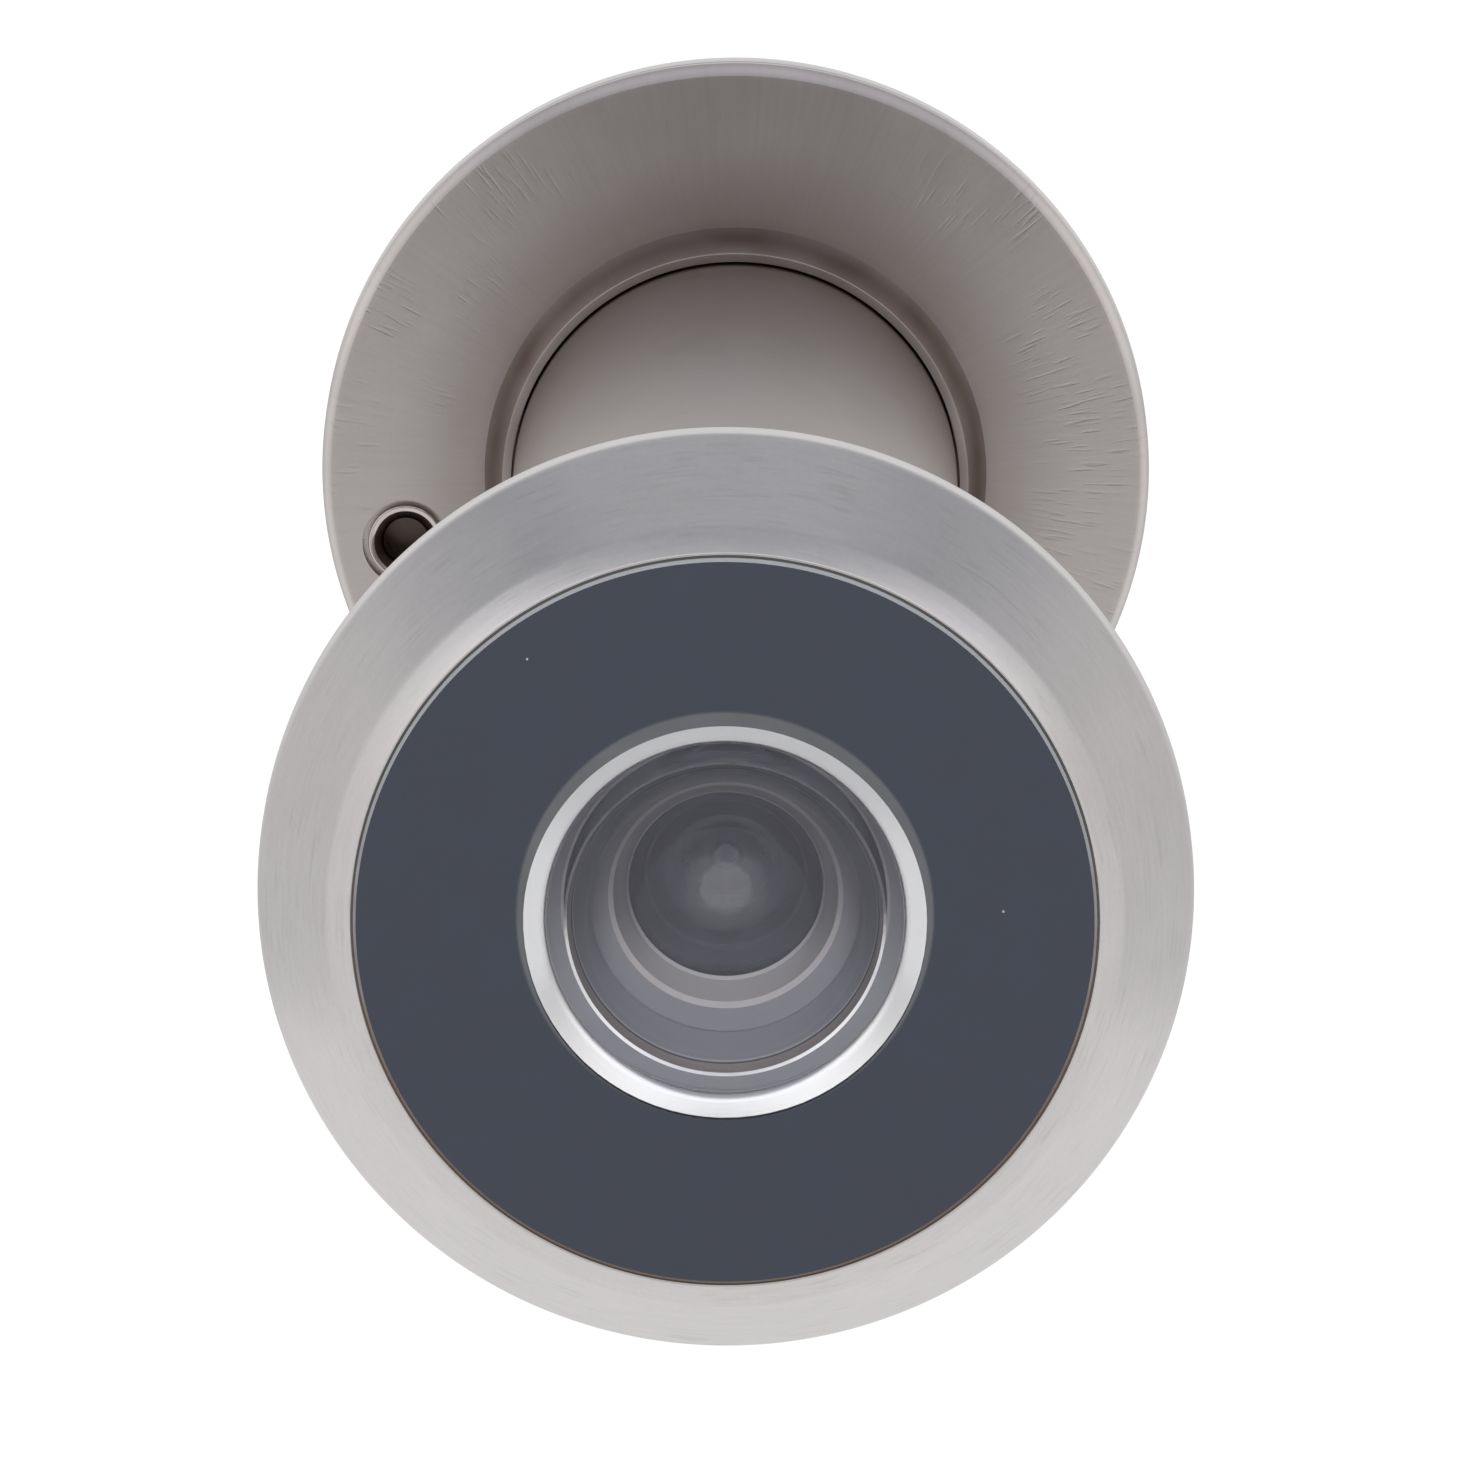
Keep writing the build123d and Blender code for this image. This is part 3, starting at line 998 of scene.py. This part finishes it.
@dataclass
class LensStack(Assembly):
    """The bevelled ring behind the window, and the lenses, spacers and locking ring in the barrel."""

    body: ClassVar[str] = "outer_half"
    bevel_radius: float = 5.75 * MM
    aperture_radius: float = 4.95 * MM
    bevel_depth: float = 0.3 * MM
    bezel_land: float = 0.15 * MM
    rolled_edge: float = 0.26 * MM
    barrel_bore: float = 5.1 * MM
    dish_radius: float = 4.36 * MM
    dish_bend: float = 4.42 * MM
    dish_points: int = 72
    chamfer_width: float = 0.085 * MM
    chamfer_depth: float = 0.05 * MM
    front_bend: float = 10.0 * MM
    back_bend: float = 14.0 * MM
    face_points: int = 24
    clear_radius: float = 4.2 * MM
    front_bore: float = 3.86 * MM
    front_relief: float = 0.75 * MM
    front_break: float = 0.15 * MM
    broken_edge: float = 0.10 * MM
    ring_bore: float = 3.9 * MM
    slot_width: float = 1.0 * MM
    slot_depth: float = 0.7 * MM

    def build(self) -> None:
        """Builds each piece of the stack, from the window inwards."""
        self.bezel()
        self.first_lens()
        self.second_lens()
        self.locking_ring()
        self.spacer("front_spacer", self.front_bore, self.front_relief,
                    SPACER_GREY, BORED_GREY, WORN_EDGE, BROKEN_EDGE)
        self.spacer("middle_spacer", self.clear_radius, self.broken_edge, *[BLACK_ANODISED] * 4)
        self.dress_node("third_lens", LENS_GLASS.material())

    def bezel(self) -> None:
        """The bright ring whose bevel shows through the window as a white circle."""
        span = Span.of("objective_bezel")
        bevel_end = span.front + self.bevel_depth
        stop = bevel_end + self.bezel_land
        piece = Lathe(steps=SHOWN_STEPS).turn("bezel_ring", [
            Corner(span.radius, span.front + SKIN), Corner(self.bevel_radius, span.front + SKIN),
            Corner(self.aperture_radius, bevel_end, self.rolled_edge, 8), Corner(self.aperture_radius, stop),
            Corner(self.barrel_bore, stop), Corner(self.barrel_bore, span.back),
            Corner(span.radius, span.back),
        ])
        self.seat(piece, "objective_bezel", "polished_ring", POLISHED_BEVEL.material(), angle=14.0)

    def first_lens(self) -> None:
        """The deep dished lens, with a ground cone and barrel side."""
        span = Span.of("objective_lens")
        stop = Span.of("objective_bezel").front + self.bevel_depth + self.bezel_land
        middle = span.front + sag(self.dish_bend, self.dish_radius)
        dish = bowl(self.dish_bend, self.dish_radius, middle, -1.0, self.dish_points)
        dish[-1] = Corner(self.dish_radius, span.front + self.chamfer_depth)
        rim = self.dish_radius + self.chamfer_width
        neck = self.aperture_radius - SKIN
        piece = Lathe(steps=SHOWN_STEPS).turn("lens_first", [
            *dish, Corner(rim, span.front), Corner(neck, stop), Corner(span.radius, stop + SKIN),
            Corner(span.radius, span.back - SKIN), Corner(0.0, span.back - SKIN),
        ])

        def choose(out: float, along: float) -> int:
            """The chamfer round the dish, the ground side, and clear glass elsewhere."""
            on_chamfer = along < span.front + self.chamfer_depth and self.dish_radius < out < rim
            return 2 if on_chamfer else int(out > neck)

        self.seat(piece, "objective_lens", "lens_glass", FIRST_GLASS.material(), LENS_SIDE.material(),
                  LENS_CHAMFER.material(), angle=25.0, choose=choose)

    def second_lens(self) -> None:
        """The lens that is hollow on both faces, with its edge blackened."""
        span = Span.of("second_lens")
        clear, points = self.clear_radius, self.face_points
        front = bowl(self.front_bend, clear, span.front + sag(self.front_bend, clear), -1.0, points)
        back = bowl(self.back_bend, clear, span.back - sag(self.back_bend, clear), 1.0, points)
        piece = Lathe().turn("lens_second", [
            *front, Corner(span.radius, span.front + SKIN), Corner(span.radius, span.back - SKIN),
            *reversed(back)])
        self.seat(piece, "second_lens", "lens_glass", LENS_GLASS.material(), INKED_EDGE.material(),
                  angle=20.0, choose=lambda out, along: int(out > clear))

    def spacer(self, node: str, bore: float, relief: float, *finishes: Finish) -> None:
        """A tube between two lenses, its bore's front edge broken and its back edge relieved.

        Args:
            node: The node it stands for.
            bore: Its bore's radius.
            relief: How far the back of the bore is cut away.
            *finishes: The finishes of its body, its bore's wall, and that wall's front and back edge.
        """
        span = Span.of(node)
        wall_end = span.back - relief
        edge_start = wall_end - 3 * self.broken_edge
        wall_start, face_start = span.front + self.front_break, bore + self.front_break
        piece = Lathe().turn(f"{node}_tube", [
            Corner(bore, wall_start), Corner(face_start, span.front),
            Corner(span.radius, span.front), Corner(span.radius, span.back),
            Corner(bore + relief, span.back), Corner(bore, wall_end), Corner(bore, edge_start),
        ])

        def choose(out: float, along: float) -> int:
            """The body, the wall, or the wall's front or back edge."""
            on_wall = out <= face_start and along <= wall_end
            return (2 if along < wall_start else 1 if along < edge_start else 3) if on_wall else 0

        self.seat(piece, node, "grey_spacer", *(finish.material() for finish in finishes), choose=choose)

    def locking_ring(self) -> None:
        """The ring behind the lenses, with a key slot across its back."""
        span = Span.of("lens_retaining_ring")
        piece = Lathe().turn("locking_ring", [
            Corner(self.ring_bore, span.front), Corner(span.radius, span.front),
            Corner(span.radius, span.back, 0.1 * MM), Corner(self.ring_bore, span.back, 0.1 * MM),
        ])
        cut_block(piece, (3 * span.radius, 2 * self.slot_depth, self.slot_width), (0.0, span.back, 0.0))
        self.seat(piece, "lens_retaining_ring", "black_ring", BLACK_ANODISED.material())


@dataclass
class ThreadedBarrel(Assembly):
    """The lens barrel: spigot, shoulder and a real thread, cut along a helix."""

    body: ClassVar[str] = "outer_half"
    bore: float = 5.1 * MM
    spigot_radius: float = 5.8 * MM
    thread_start: float = 1.0 * MM
    pitch: float = 0.75 * MM
    depth: float = 0.46 * MM
    crest_width: float = 0.10 * MM
    root_width: float = 0.14 * MM
    end_bevel: float = 0.45 * MM
    bore_bevel: float = 0.15 * MM
    proud: float = 0.04 * MM
    steps: int = 72

    def build(self) -> None:
        """Turns the blank, cuts the thread and dresses it."""
        span = Span.of("outer_barrel")
        shoulder = Span.of("outer_gasket").front
        piece = Lathe().turn("barrel_threaded", [
            Corner(self.bore, span.front), Corner(self.spigot_radius, span.front),
            Corner(self.spigot_radius, shoulder), Corner(span.radius, shoulder),
            Corner(span.radius, span.back - self.end_bevel), Corner(span.radius - self.end_bevel, span.back),
            Corner(self.bore + self.bore_bevel, span.back), Corner(self.bore, span.back - self.bore_bevel),
        ])
        cut(piece, self.groove(span))
        self.seat(piece, "outer_barrel", "plated_thread", CUT_THREAD.material())

    def groove(self, span: Span) -> bpy.types.Object:
        """The helix that the thread's groove leaves, as a closed mesh.

        Args:
            span: The barrel's span.

        Returns:
            The mesh to cut with.
        """
        slope = (self.pitch - self.crest_width - self.root_width) / 2 / self.depth
        half_root = self.root_width / 2
        half_mouth = half_root + slope * (self.depth + self.proud)
        turns = math.ceil((span.back - self.thread_start) / self.pitch) + 1
        root, mouth = span.radius - self.depth, span.radius + self.proud
        piece = Lathe().outline("groove", [
            Corner(root, self.thread_start - half_root), Corner(mouth, self.thread_start - half_mouth),
            Corner(mouth, self.thread_start + half_mouth), Corner(root, self.thread_start + half_root),
        ])
        apply_modifier(piece, "SCREW", axis="Y", screw_offset=self.pitch, iterations=turns, steps=self.steps,
                       render_steps=self.steps, use_merge_vertices=True, merge_threshold=JOIN)
        bpy.ops.object.mode_set(mode="EDIT")
        bpy.ops.mesh.select_all(action="SELECT")
        bpy.ops.mesh.fill_holes(sides=4)
        bpy.ops.mesh.select_all(action="SELECT")
        bpy.ops.mesh.normals_make_consistent(inside=False)
        bpy.ops.object.mode_set(mode="OBJECT")
        return piece


@dataclass
class ScrewSleeve(Assembly):
    """The smooth sleeve with its slotted head and eyecup, the eyepiece lens and its ring."""

    body: ClassVar[str] = "screw_sleeve"
    radius: float = 6.95 * MM
    bore: float = 6.05 * MM
    head_slot_width: float = 1.4 * MM
    head_slot_depth: float = 0.4 * MM
    head_slot_length: float = 1.0 * MM
    eyecup_radius: float = 5.6 * MM
    aperture_radius: float = 4.6 * MM
    web: float = 0.7 * MM
    head_thickness: float = 0.66 * MM
    front_bevel: float = 0.25 * MM

    def build(self) -> None:
        """Turns the sleeve, cuts its coin slots and dresses the eyepiece."""
        span = Span.of("sleeve")
        lens_back = Span.of("eyepiece_lens").back
        collar = Span.of("rosette").front
        head = span.back - self.head_thickness
        piece = Lathe(steps=SHOWN_STEPS).turn("sleeve_tube", [
            Corner(self.bore, span.front + self.front_bevel),
            Corner(self.bore + self.front_bevel, span.front),
            Corner(self.radius, span.front, self.front_bevel, 5), Corner(self.radius, head),
            Corner(span.radius, head, 0.05 * MM, 3), Corner(span.radius, span.back, 0.12 * MM, 4),
            Corner(self.eyecup_radius, span.back, 0.18 * MM, 5),
            Corner(self.aperture_radius, lens_back + self.web, 0.12 * MM, 4),
            Corner(self.aperture_radius, lens_back), Corner(self.bore, lens_back),
        ])
        slot = (2 * self.head_slot_length, 2 * self.head_slot_depth, self.head_slot_width)
        for side in (-1, 1):
            cut_block(piece, slot, (side * span.radius, span.back, 0.0))
        # The first two marks are worn edges; the two dark marks at the collar are painted shade: a long
        # darkening of the tube towards the rosette and a narrow one in the corner.
        finish = SHADED_SATIN_TUBE.marked(RingMark(span.radius, span.back, 0.25 * MM),
                                   RingMark(self.radius, span.front, 0.4 * MM),
                                   RingMark(self.radius, collar, 17 * MM, -0.42),
                                   RingMark(self.radius, collar, 3 * MM, -0.35))
        self.seat(piece, "sleeve", "satin_nickel", finish.material())
        self.dress_node("eyepiece_lens", LENS_GLASS.material())
        self.dress_node("eyepiece_retaining_ring", BLACK_ANODISED.material())


@dataclass
class Rosette(Assembly):
    """The indoor plate with its tapered collar and the stepped hole for the rivet."""

    body: ClassVar[str] = "rosette_plate"
    plate: float = 0.75 * MM
    bevel_width: float = 0.3 * MM
    bevel_height: float = 0.6 * MM
    collar_top: float = 7.3 * MM
    collar_base: float = 7.88 * MM
    bore: float = 7.03 * MM
    counterbore: float = 7.5 * MM
    rivet_hole: float = 1.05 * MM
    pocket_radius: float = 1.36 * MM
    pocket_depth: float = 0.4 * MM

    def build(self) -> None:
        """Turns the plate, bores the rivet's hole and dresses it."""
        span = Span.of("rosette")
        face = span.back - self.plate
        piece = Lathe(steps=SHOWN_STEPS).turn("rosette_plate_piece", [
            Corner(self.bore, span.front), Corner(self.collar_top, span.front, 0.03 * MM, 3),
            Corner(self.collar_base, face), Corner(span.radius - self.bevel_width, face),
            Corner(span.radius, face + self.bevel_height, 0.05 * MM, 3), Corner(span.radius, span.back),
            Corner(self.counterbore, span.back), Corner(self.counterbore, face), Corner(self.bore, face),
        ])
        pocket = face + self.pocket_depth
        cut(piece, Lathe(Span.of("pivot_rivet").axis, SMALL_STEPS).turn("drill", [
            Corner(0.0, face - SPARE), Corner(self.pocket_radius, face - SPARE),
            Corner(self.pocket_radius, pocket), Corner(self.rivet_hole, pocket),
            Corner(self.rivet_hole, span.back + SPARE), Corner(0.0, span.back + SPARE),
        ]))
        cone = (self.collar_base + self.collar_top) / 2
        bevel = span.radius - self.bevel_width / 2
        # The bright mark on the bevel is a painted highlight; the dark marks on the cone, at the collar's
        # foot and at the bore's edge are painted shade.
        finish = SHADED_SATIN_ROSETTE.marked(RingMark(span.radius, span.back, 0.2 * MM),
                                      RingMark(bevel, face + self.bevel_height / 2, 0.45 * MM, 0.55),
                                      RingMark(cone, (face + span.front) / 2, 1.0 * MM, -0.62),
                                      RingMark(self.collar_base, face, 3.2 * MM, -0.42),
                                      RingMark(self.bore, span.front, 0.8 * MM, -0.40))
        self.seat(piece, "rosette", "satin_nickel", finish.material())


@dataclass
class PrivacyCover(Assembly):
    """The round cover that turns aside from the eyepiece: a bevelled disc with a hole for its rivet."""

    body: ClassVar[str] = "cover"
    bevel_width: float = 0.4 * MM
    bevel_height: float = 0.35 * MM
    rivet_hole: float = 1.05 * MM

    def build(self) -> None:
        """Turns the disc and drills it."""
        span = Span.of("privacy_cover")
        bevel_front, bevel_inside = span.back - self.bevel_height, span.radius - self.bevel_width
        piece = Lathe(steps=SHOWN_STEPS).turn("cover_disc", [
            Corner(0.0, span.front), Corner(span.radius, span.front, 0.12 * MM, 4),
            Corner(span.radius, bevel_front, 0.06 * MM, 4), Corner(bevel_inside, span.back, 0.10 * MM, 4),
            Corner(0.0, span.back),
        ])
        cut(piece, Lathe(Span.of("pivot_rivet").axis, SMALL_STEPS).turn("drill", [
            Corner(0.0, span.front - SPARE), Corner(self.rivet_hole, span.front - SPARE),
            Corner(self.rivet_hole, span.back + SPARE), Corner(0.0, span.back + SPARE),
        ]))
        finish = SATIN_COVER.marked(RingMark(span.radius, bevel_front, 0.2 * MM),
                                    RingMark(bevel_inside, span.back, 0.25 * MM))
        self.seat(piece, "privacy_cover", "satin_nickel", finish.material())


@dataclass
class PivotRivet(Assembly):
    """The tubular rivet that holds the cover, open towards the rosette's face, and its coned washer."""

    body: ClassVar[str] = "rosette_plate"
    shank: float = 1.0 * MM
    bore: float = 0.7 * MM
    bore_depth: float = 1.9 * MM
    mouth: float = 1.04 * MM
    flare: float = 1.21 * MM
    flare_height: float = 0.34 * MM
    head_height: float = 0.6 * MM
    head_bevel: float = 0.35 * MM
    tarnish_radius: float = 0.98 * MM

    def build(self) -> None:
        """Turns the rivet, with a low head over the cover, and dresses it and the washer."""
        span = Span.of("pivot_rivet")
        flare_end = span.front + self.flare_height
        under_head = span.back - self.head_height
        bore_end = span.front + self.bore_depth
        piece = Lathe(span.axis, SMALL_STEPS).turn("rivet_tubular", [
            Corner(0.0, span.back), Corner(span.radius - self.head_bevel, span.back, 0.25 * MM, 6),
            Corner(span.radius, span.back - self.head_bevel, 0.12 * MM, 4), Corner(span.radius, under_head),
            Corner(self.shank, under_head), Corner(self.shank, flare_end, 0.1 * MM, 4),
            Corner(self.flare, span.front, 0.085 * MM, 6), Corner(self.mouth, span.front, 0.07 * MM, 6),
            Corner(self.bore, flare_end, 0.12 * MM, 5), Corner(self.bore, bore_end), Corner(0.0, bore_end),
        ])

        def choose(out: float, along: float) -> int:
            """Tarnished within the bore and bright elsewhere."""
            return int(out < self.tarnish_radius and span.front + SKIN < along <= bore_end + SKIN)

        self.seat(piece, "pivot_rivet", "bright_nickel", BRIGHT_RIVET.material(span.axis),
                  DARK_BORE.material(span.axis), choose=choose, axis=span.axis)
        self.dress_node("rivet_washer", WASHER_STEEL.material(span.axis))


@dataclass
class Studio:
    """The pale floor, the room's soft light and three soft lamps; the floor's reaches are in millimetres."""

    floor_size: float = 5.0
    floor_gap: float = 13.0 * MM
    floor_tone: Tone = (0.8, 0.8, 0.8)
    glow_share: float = 0.8
    white: float = 1.20
    far_glow: float = 0.84
    near_glow: float = 1.12
    front_glow: float = 0.74
    side_glow: float = 1.02
    near_reach: Range = (45.0, 75.0)
    front_edge: Range = (-20.0, -10.0)
    front_end: Range = (-75.0, -40.0)
    side_edge: Range = (14.0, 34.0)
    soft_share: float = 0.45
    side_level: float = 0.74
    back_level: float = 1.0
    back_edge: Range = (0.35, 0.95)
    top_level: float = 0.45
    top_edge: Range = (0.25, 0.85)
    band_level: float = 1.45
    band_low: Range = (0.02, 0.44)
    band_high: Range = (0.56, 0.78)
    band_sides: Range = (0.25, 0.70)
    front_level: float = 0.10
    front_way: Triple = (0.0, -0.9925, 0.122)
    front_angles: Range = (21.0, 11.0)
    side_tint: Tone = (1.0, 0.995, 0.99)
    top_tint: tuple[float, float, float, float] = (0.96, 0.98, 1.06, 1.0)
    lamps: dict[str, tuple[Vector, float, float]] = field(default_factory=lambda: {
        "overhead": (Vector((0.0, 0.2, 1.0)), 1.0, 0.35),
        "fill": (Vector((-0.9, -0.3, 0.4)), 0.8, 0.25),
        "front": (Vector((0.0, -0.55, 0.45)), 0.30, 3.0),
    })

    def build(self) -> None:
        """Builds the floor, the world and the lamps; metal and glass don't show the front lamp."""
        self.floor()
        self.room()
        for name, (place, size, power) in self.lamps.items():
            self.lamp(name, place, size, power, mirrored=name != "front")

    def floor(self) -> None:
        """The floor, below the cover's swing: white, and in reflections whiter near the piece than away."""
        bpy.ops.object.select_all(action="DESELECT")
        level = CAD_BOUNDS[0].z - self.floor_gap
        bpy.ops.mesh.primitive_plane_add(size=self.floor_size, location=(0.0, 0.0, level))
        piece = bpy.context.object
        piece.name = "floor"
        bpy.ops.object.transform_apply(location=True, rotation=True, scale=True)
        made = new_material("pale_floor")
        board = Board(made.node_tree)
        spot = Spot.about(board)
        x = spot.out * spot.across
        near = 1.0 - board.distance(x, spot.along).rise(*self.near_reach)
        behind = spot.along.rise(*self.front_edge)
        beside = abs(x).rise(*self.side_edge) * (1.0 - behind)
        front = (1.0 - behind) * (1.0 - beside) * spot.along.rise(*self.front_end) * near
        mirrored = (self.far_glow + near * behind * (self.near_glow - self.far_glow)
                    + beside * (self.side_glow - self.far_glow) + front * (self.front_glow - self.far_glow))
        camera = board.node("ShaderNodeLightPath", out="Is Camera Ray")
        seen = camera + camera.beside("Is Glossy Ray") + camera.beside("Is Transmission Ray")
        strength = mirrored + camera * (self.white - mirrored)
        paint = board.node("ShaderNodeBsdfDiffuse", {}, {"Color": shaded(self.floor_tone)})
        glow = board.node("ShaderNodeEmission", {}, {"Color": (1.0, 1.0, 1.0, 1.0), "Strength": strength})
        lit = board.shaders(seen.held() * self.glow_share, paint, glow)
        under = board.node("ShaderNodeNewGeometry", out="Backfacing")
        clear = board.node("ShaderNodeBsdfTransparent")
        board.end("ShaderNodeOutputMaterial", board.shaders(under, lit, clear))
        piece.data.materials.append(made)

    def room(self) -> None:
        """The world: white to the camera, with a broad light band in front and a dark patch by the camera."""
        world = bpy.data.worlds.new("studio_room")
        bpy.context.scene.world = world
        world.use_nodes = True
        board = Board(world.node_tree)
        way = board.node("ShaderNodeTexCoord", out="Generated")
        parts = board.node("ShaderNodeSeparateXYZ", {}, {0: way})
        depth, height = parts.beside("Y"), parts.beside("Z")
        top = height.rise(*self.top_edge)
        towards = board.node("ShaderNodeVectorMath", {"operation": "DOT_PRODUCT"},
                             {0: way, 1: self.front_way}, "Value")
        front = towards.rise(*(math.cos(math.radians(angle)) for angle in self.front_angles))
        band = (height.rise(*self.band_low) * (1.0 - height.rise(*self.band_high))
                * (depth * -1.0).rise(*self.band_sides))
        level = self.side_level + depth.rise(*self.back_edge) * (self.back_level - self.side_level)
        for share, aim in ((top, self.top_level), (band, self.band_level), (front, self.front_level)):
            level = level + share * (aim - level)
        tint = board.node("ShaderNodeMix", {"data_type": "RGBA"},
                          {0: top, 6: shaded(self.side_tint), 7: self.top_tint}, 2)
        scattered = board.node("ShaderNodeLightPath", out="Is Diffuse Ray")
        level = level * (1.0 - scattered * (1.0 - self.soft_share))
        level = level + scattered.beside("Is Camera Ray") * (self.white - level)
        light = board.node("ShaderNodeBackground", {}, {"Color": tint, "Strength": level})
        board.end("ShaderNodeOutputWorld", light)

    @staticmethod
    def lamp(name: str, place: Vector, size: float, power: float, mirrored: bool) -> None:
        """A square soft lamp that faces the middle of the piece.

        Args:
            name: The lamp's name.
            place: Where it hangs.
            size: The length of its side.
            power: Its power in watts.
            mirrored: Whether metal and glass show it.
        """
        data = bpy.data.lights.new(name, "AREA")
        data.shape = "SQUARE"
        data.size = size
        data.energy = power
        lamp = bpy.data.objects.new(name, data)
        bpy.context.scene.collection.objects.link(lamp)
        middle = (CAD_BOUNDS[0] + CAD_BOUNDS[1]) / 2
        lamp.location = place
        lamp.rotation_euler = (middle - place).to_track_quat("-Z", "Y").to_euler()
        lamp.visible_camera = False
        lamp.visible_glossy = mirrored
        lamp.visible_transmission = mirrored


@dataclass
class PhotoCamera:
    """The camera, placed so that the front rim's middle falls where the photograph has it."""

    picture: float = 1459.0
    rim_x: float = 725.7
    rim_y: float = 893.2
    rim_along: float = -1.1 * MM
    depth: float = 429.5 * MM
    tilt: float = 12.48
    swing: float = 0.29
    lens: float = 382.0
    sensor: float = 36.0
    clip: Range = (10 * MM, 20.0)

    def build(self) -> None:
        """Makes the camera and puts it in place."""
        turned = Euler((math.radians(90.0 - self.tilt), 0.0, math.radians(self.swing)))
        axes = turned.to_matrix()
        right, up, forward = axes.col[0], axes.col[1], -axes.col[2]
        scale = self.depth * self.sensor / self.lens / self.picture
        across = (self.rim_x - self.picture / 2) * scale
        down = (self.rim_y - self.picture / 2) * scale
        rim = Vector((0.0, self.rim_along, 0.0))
        data = bpy.data.cameras.new("photo_camera")
        data.lens = self.lens
        data.sensor_width = self.sensor
        data.clip_start, data.clip_end = self.clip
        camera = bpy.data.objects.new("photo_camera", data)
        bpy.context.scene.collection.objects.link(camera)
        camera.location = rim - across * right + down * up - self.depth * forward
        camera.rotation_euler = turned
        bpy.context.scene.camera = camera


def main() -> None:
    """Builds the camera, the pieces from outdoors to indoors, and the studio."""
    logging.basicConfig(level=logging.INFO, format="%(message)s")
    bpy.context.scene.view_settings.view_transform = "Standard"
    for part in (PhotoCamera(), OuterFlange(), ViewingWindow(), LensStack(), ThreadedBarrel(), ScrewSleeve(),
                 Rosette(), PrivacyCover(), PivotRivet(), Studio()):
        log.info("building %s", type(part).__name__)
        part.build()


if __name__ == "__main__":
    main()
